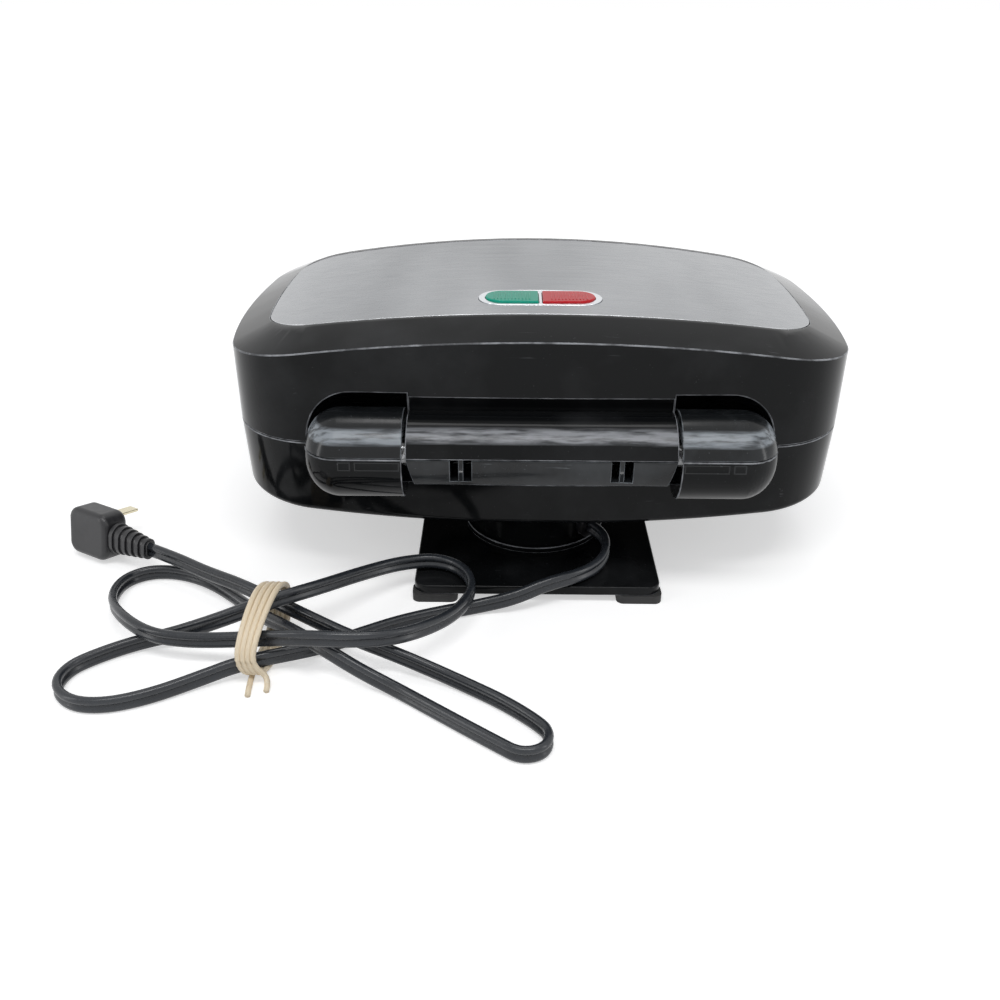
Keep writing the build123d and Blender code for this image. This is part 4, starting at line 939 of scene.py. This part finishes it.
@dataclass
class IndicatorLights:
    """Green and red lights in their dished rim.

    Attributes:
        rim_edge: How wide the rim's edges are rounded.
        rib_radius: Radius of the ribs across a lens.
        rib_count: How many ribs a lens has.
        rib_share: How much of the lens's width a rib spans.
        rib_sides: How many sides a rib has.
        rib_sink: How deep a rib's middle line lies under the lens's top, as a share of its radius.
    """

    rim_edge: float = 0.3 * MILLIMETRE
    rib_radius: float = 0.4 * MILLIMETRE
    rib_count: int = 11
    rib_share: float = 0.66
    rib_sides: int = 12
    rib_sink: float = 0.3

    def rib(self, dresser: Dresser, finish: Finish, lens: str) -> None:
        """Lay rounded ribs across the top of a lens.

        Args:
            dresser: Puts finishes on.
            finish: The lens's finish.
            lens: The lens's node.
        """
        low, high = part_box(lens)
        middle = (low + high) / 2
        long_way, short_way = (0, 1) if high.x - low.x > high.y - low.y else (1, 0)
        run = (high[long_way] - low[long_way]) * self.rib_share
        length = (high[short_way] - low[short_way]) * self.rib_share
        work = bmesh.new()
        for number in range(self.rib_count):
            made = bmesh.ops.create_cone(work, cap_ends=True, segments=self.rib_sides,
                                         radius1=self.rib_radius, radius2=self.rib_radius, depth=length)
            turn = Matrix.Rotation(math.pi / 2, 4, "X" if short_way == 1 else "Y")
            place = Vector((middle.x, middle.y, high.z - self.rib_sink * self.rib_radius))
            place[long_way] += run * (number / (self.rib_count - 1) - 0.5)
            bmesh.ops.transform(work, matrix=Matrix.Translation(place) @ turn, verts=made["verts"])
        mesh = finished_mesh(work, f"{lens}_ribs")
        dresser.place(f"{lens}_ribs", mesh, finish, dresser.body_of(lens), dresser.slot_of(lens))
        mesh.set_sharp_from_angle(angle=SMOOTH_ANGLE)

    def dress(self, dresser: Dresser) -> None:
        """Finish the rim, the lenses and the lamps behind them.

        Args:
            dresser: Puts finishes on.
        """
        dresser.round_off(PALE_RIM, self.rim_edge, "lamp_bezel")
        for finish, lens in ((GREEN_LENS, "green_lens"), (RED_LENS, "red_lens")):
            dresser.paint(finish, lens)
            self.rib(dresser, finish, lens)
        dresser.paint(WHITE_INSULATOR, "lamp_holder")
        dresser.paint(LAMP_GLASS, "green_lamp", "red_lamp")


@dataclass
class Hinge:
    """Barrel, knuckle halves and pins at the back.

    Attributes:
        edge: How wide the covers' edges are rounded.
        axis_y: Where the hinge's axis lies along Y.
        axis_z: Its height.
        pad_radius: Radius of a knuckle, on which the moulded pads sit.
        pad_rise: How far a pad stands proud of its knuckle.
        pads: Ends of each pad along X, on the +X side.
        pad_angles: Lowest and highest edge of a pad, in degrees above the level of the axis.
        frame_width: Width of the raised frame round a pad's window.
        window_slope: How far a window's sides lean in.
        window_depth: How deep a window is.
        outward_least: Cosine above which a pad's face counts as its outer one.
    """

    edge: float = 0.4 * MILLIMETRE
    axis_y: float = 101.3 * MILLIMETRE
    axis_z: float = 76.5 * MILLIMETRE
    pad_radius: float = 20.5 * MILLIMETRE
    pad_rise: float = 0.5 * MILLIMETRE
    pads: tuple[tuple[float, float], ...] = ((0.0628, 0.0828), (0.0845, 0.0902))
    pad_angles: tuple[float, float] = (1.0, 12.5)
    frame_width: float = 0.8 * MILLIMETRE
    window_slope: float = 0.1 * MILLIMETRE
    window_depth: float = 0.4 * MILLIMETRE
    outward_least: float = 0.99

    def build_pads(self, dresser: Dresser, side: int) -> None:
        """Make the framed window pads on one knuckle's lower half.

        Args:
            dresser: Puts finishes on.
            side: 1 for the +X knuckle, -1 for the other.
        """
        work = bmesh.new()
        centre = Vector((0.0, self.axis_y, self.axis_z))
        low, high = (math.radians(angle) for angle in self.pad_angles)
        height = (high - low) * self.pad_radius
        reach = self.pad_radius * math.cos((high - low) / 2) - self.pad_rise / 2
        turn = Matrix.Rotation((low + high) / 2, 4, "X")
        for first, last in self.pads:
            size = Matrix.Diagonal((last - first, 2 * self.pad_rise, height, 1.0))
            spot = Matrix.Translation((side * (first + last) / 2, reach, 0.0))
            bmesh.ops.create_cube(work, size=1.0, matrix=Matrix.Translation(centre) @ turn @ spot @ size)
        outward = turn.to_3x3() @ Vector((0.0, 1.0, 0.0))
        windows = [face for face in work.faces if face.normal.dot(outward) > self.outward_least]
        bmesh.ops.inset_individual(work, faces=windows, thickness=self.frame_width, depth=0.0)
        bmesh.ops.inset_individual(work, faces=windows, thickness=self.window_slope,
                                   depth=-self.window_depth)
        name = "left_knuckle_pads" if side < 0 else "right_knuckle_pads"
        mesh = finished_mesh(work, name)
        dresser.place(name, mesh, HINGE_BLACK, "base", dresser.slot_of("base_shell"))
        mesh.set_sharp_from_angle(angle=SMOOTH_ANGLE)

    def dress(self, dresser: Dresser) -> None:
        """Finish the hinge's pieces.

        Args:
            dresser: Puts finishes on.
        """
        dresser.round_off(HINGE_BLACK, self.edge, "hinge_barrel_cover", "left_knuckle_cap",
                          "right_knuckle_cap")
        for side in (1, -1):
            self.build_pads(dresser, side)
        dresser.paint(PLATED_STEEL, "left_hinge_pin", "right_hinge_pin")


@dataclass
class Base:
    """Base casing with its deck, terminals and front legs.

    Attributes:
        edge: How wide the casing's edges are rounded.
        leg_edge: How wide the legs' edges are rounded.
    """

    edge: float = 0.5 * MILLIMETRE
    leg_edge: float = 0.5 * MILLIMETRE

    def dress(self, dresser: Dresser) -> None:
        """Finish the base's pieces.

        Args:
            dresser: Puts finishes on.
        """
        dresser.round_off(GLOSS_BLACK, self.edge, "base_shell")
        dresser.paint(DARK_ENAMEL, "lower_deck_frame")
        dresser.paint(WHITE_INSULATOR, "terminal_block", "thermal_fuse")
        dresser.round_off(SATIN_BLACK, self.leg_edge, "front_legs")
        dresser.paint(FOOT_RUBBER, "front_leg_pads")


@dataclass
class CookingPlates:
    """Swap-out plates, the heating rods behind them and the sheets behind those."""

    def dress(self, dresser: Dresser) -> None:
        """Finish both halves' plates and heating pieces.

        Args:
            dresser: Puts finishes on.
        """
        for half in ("lower", "upper"):
            dresser.paint(COATED_PLATE, f"{half}_waffle_plate")
            dresser.paint(ELEMENT_SHEATH, f"{half}_heating_element")
            dresser.paint(BRIGHT_SHEET, f"{half}_reflector", f"{half}_element_saddles")
            dresser.paint(PLATED_STEEL, f"{half}_reflector_screws")
        dresser.paint(BRIGHT_SHEET, "thermostat")


@dataclass
class FrontGrips:
    """Grips, latch and plate release buttons at the front.

    Attributes:
        grip_edge: How wide the grips' and buttons' edges are rounded.
        latch_edge: How wide the latch's edges are rounded.
    """

    grip_edge: float = 0.4 * MILLIMETRE
    latch_edge: float = 0.4 * MILLIMETRE

    def dress(self, dresser: Dresser) -> None:
        """Finish the grips, the latch and the releases.

        Args:
            dresser: Puts finishes on.
        """
        dresser.round_off(SATIN_BLACK, self.grip_edge, "upper_handle", "lower_handle")
        dresser.round_off(SATIN_BLACK, self.latch_edge, "latch_clip")
        dresser.paint(PLATED_STEEL, "latch_pin")
        for half in ("lower", "upper"):
            dresser.round_off(SATIN_BLACK, self.grip_edge, f"{half}_release_button")
            dresser.paint(PLATED_STEEL, f"{half}_plate_catch", f"{half}_button_spring")


@dataclass
class DrumStand:
    """Cord drum, its foot plate, screws and pads.

    Attributes:
        edge: How wide the drum's and the foot plate's edges are rounded.
    """

    edge: float = 0.45 * MILLIMETRE

    def dress(self, dresser: Dresser) -> None:
        """Finish the drum and its foot.

        Args:
            dresser: Puts finishes on.
        """
        dresser.round_off(GLOSS_BLACK, self.edge, "cord_drum", "rear_foot_plate")
        dresser.paint(PLATED_STEEL, "foot_screws")
        dresser.paint(FOOT_RUBBER, "rear_foot_pads")
        dresser.paint(PLUG_BLACK, "cord_strain_relief")


@dataclass
class Plug:
    """Moulded plug with its ribbed relief and blades.

    Attributes:
        relief_edge: How wide the relief's ribs are rounded.
    """

    relief_edge: float = 0.2 * MILLIMETRE

    def dress(self, dresser: Dresser) -> None:
        """Finish the plug's pieces.

        Args:
            dresser: Puts finishes on.
        """
        dresser.paint(PLUG_BLACK, "plug_body")
        dresser.round_off(PLUG_BLACK, self.relief_edge, "plug_strain_relief")
        dresser.paint(PLUG_METAL, "plug_blades")


@dataclass(frozen=True)
class Lamp:
    """One soft rectangular lamp that faces the object.

    Attributes:
        name: Its name.
        place: Where it hangs.
        size: Its width and height.
        power: Its power in watts.
    """

    name: str
    place: tuple[float, float, float]
    size: tuple[float, float]
    power: float

    def hang(self, target: tuple[float, float, float]) -> None:
        """Add the lamp to the scene, turned to the target.

        Args:
            target: The place that it faces.
        """
        data = bpy.data.lights.new(self.name, "AREA")
        data.shape = "RECTANGLE"
        data.size, data.size_y = self.size
        data.energy = self.power
        lamp = bpy.data.objects.new(self.name, data)
        lamp.location = self.place
        aim = Vector(target) - Vector(self.place)
        lamp.rotation_euler = aim.to_track_quat("-Z", "Y").to_euler()
        bpy.context.scene.collection.objects.link(lamp)


@dataclass
class Studio:
    """Floor, light and camera, as in the photograph.

    Attributes:
        camera_place: Where the camera stands.
        pitch: How far it looks down, in degrees.
        yaw: How far it looks aside, in radians.
        roll: How far it is turned about its own axis, in radians.
        focal_pixels: Its focal length in pixels of a picture 1000 pixels wide.
        sensor: Width of its sensor in millimetres.
        room_light: Colour of the room where it lights the object.
        floor_size: Half the floor's width.
        floor_drop: How far the floor lies under the object's feet.
        floor_shade: How pale the floor is.
        glow_reach: Where the floor's glow starts and stops growing, from the middle outwards.
        glow: The floor's glow near the object and far from it.
        target: What the lamps face.
        lamps: The lamps.
    """

    camera_place: tuple[float, float, float] = (0.01635, 0.50735, 0.27663)
    pitch: float = 29.0
    yaw: float = -0.0051
    roll: float = 0.0065
    focal_pixels: float = 984.3
    sensor: float = 36.0
    room_light: tuple[float, float, float] = (0.35, 0.355, 0.365)
    floor_size: float = 6.0
    floor_drop: float = 0.1 * MILLIMETRE
    floor_shade: float = 0.82
    glow_reach: tuple[float, float] = (0.25, 0.9)
    glow: tuple[float, float] = (0.5, 0.85)
    target: tuple[float, float, float] = (0.0, 0.0, 0.08)
    lamps: tuple[Lamp, ...] = (
        Lamp("main_lamp", (0.0, 0.59, 1.1), (0.9, 0.22), 5.5),
        Lamp("left_strip", (1.0, 0.5, 0.45), (0.15, 0.8), 1.8),
        Lamp("right_strip", (-1.0, 0.5, 0.45), (0.15, 0.8), 1.5),
        Lamp("far_lamp", (0.0, -0.35, 1.4), (0.6, 0.3), 2.0),
    )

    def set_camera(self) -> None:
        """Make the camera at the photograph's place and angle."""
        data = bpy.data.cameras.new("picture_camera")
        data.sensor_width = self.sensor
        data.sensor_fit = "HORIZONTAL"
        data.lens = self.focal_pixels / PICTURE_PIXELS * data.sensor_width
        camera = bpy.data.objects.new("picture_camera", data)
        camera.matrix_world = (
            Matrix.Translation(self.camera_place)
            @ Matrix.Rotation(math.pi - self.yaw, 4, "Z")
            @ Matrix.Rotation(math.radians(90.0 - self.pitch), 4, "X")
            @ Matrix.Rotation(self.roll, 4, "Z")
        )
        bpy.context.scene.collection.objects.link(camera)
        bpy.context.scene.camera = camera

    @staticmethod
    def seen_plainly(made: Tree) -> bpy.types.NodeSocket:
        """Give 1 for rays from the camera, a mirror or glass, else 0.

        Args:
            made: The tree to add to.

        Returns:
            The factor's socket.
        """
        path = made.add("ShaderNodeLightPath")
        first = made.add("ShaderNodeMath", operation="ADD")
        made.join(path.outputs["Is Camera Ray"], first.inputs[0])
        made.join(path.outputs["Is Glossy Ray"], first.inputs[1])
        second = made.add("ShaderNodeMath", operation="ADD", use_clamp=True)
        made.join(first.outputs[0], second.inputs[0])
        made.join(path.outputs["Is Transmission Ray"], second.inputs[1])
        return second.outputs[0]

    def set_world(self) -> None:
        """Light the object evenly from a pale room that shows white."""
        world = bpy.data.worlds.new("pale_room")
        bpy.context.scene.world = world
        world.use_nodes = True
        made = Tree(world.node_tree)
        back = made.add("ShaderNodeBackground")
        shade = made.blend(self.seen_plainly(made), self.room_light, (1.0, 1.0, 1.0))
        made.join(shade, back.inputs["Color"])
        output = made.add("ShaderNodeOutputWorld")
        made.join(back.outputs["Background"], output.inputs["Surface"])

    def set_floor(self) -> None:
        """Lay a pale floor that shows white where nothing shades it."""
        work = bmesh.new()
        bmesh.ops.create_grid(work, x_segments=1, y_segments=1, size=self.floor_size)
        bmesh.ops.translate(work, verts=work.verts, vec=(0.0, 0.0, -self.floor_drop))
        mesh = finished_mesh(work, "floor")
        floor = bpy.data.objects.new("floor", mesh)
        bpy.context.scene.collection.objects.link(floor)
        material = bpy.data.materials.new("pale_floor")
        material.use_nodes = True
        made = Tree(material.node_tree)
        matt = made.add("ShaderNodeBsdfDiffuse")
        matt.inputs["Color"].default_value = (self.floor_shade, self.floor_shade, self.floor_shade, 1.0)
        glow = made.add("ShaderNodeEmission")
        seen = self.seen_plainly(made)
        place = made.add("ShaderNodeTexCoord").outputs["Object"]
        reach = made.add("ShaderNodeVectorMath", operation="LENGTH")
        made.join(place, reach.inputs[0])
        strength = made.times(seen, made.spread(reach.outputs["Value"], *self.glow_reach, *self.glow))
        glow.inputs["Color"].default_value = (1.0, 1.0, 1.0, 1.0)
        made.join(strength, glow.inputs["Strength"])
        both = made.add("ShaderNodeAddShader")
        made.join(matt.outputs[0], both.inputs[0])
        made.join(glow.outputs[0], both.inputs[1])
        output = made.add("ShaderNodeOutputMaterial")
        made.join(both.outputs[0], output.inputs["Surface"])
        mesh.materials.append(material)

    def build(self) -> None:
        """Set the floor, the room, the lamps and the picture's tone."""
        self.set_world()
        self.set_floor()
        for lamp in self.lamps:
            lamp.hang(self.target)
        bpy.context.scene.view_settings.view_transform = "Standard"


def main() -> None:
    """Build and dress every piece and light it."""
    logging.basicConfig(level=logging.INFO, format="%(name)s: %(message)s")
    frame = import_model()
    studio = Studio()
    studio.set_camera()
    dresser = Dresser(frame)
    TieBand().build(dresser)
    for assembly in (Plug(), Lid(), IndicatorLights(), Hinge(), Base(), CookingPlates(), FrontGrips(),
                     DrumStand()):
        assembly.dress(dresser)
    PowerCord().build(dresser, ["tie_band", "plug_strain_relief_rounded", "plug_body", "plug_blades"])
    studio.build()
    bpy.context.view_layer.update()


if __name__ == "__main__":
    main()
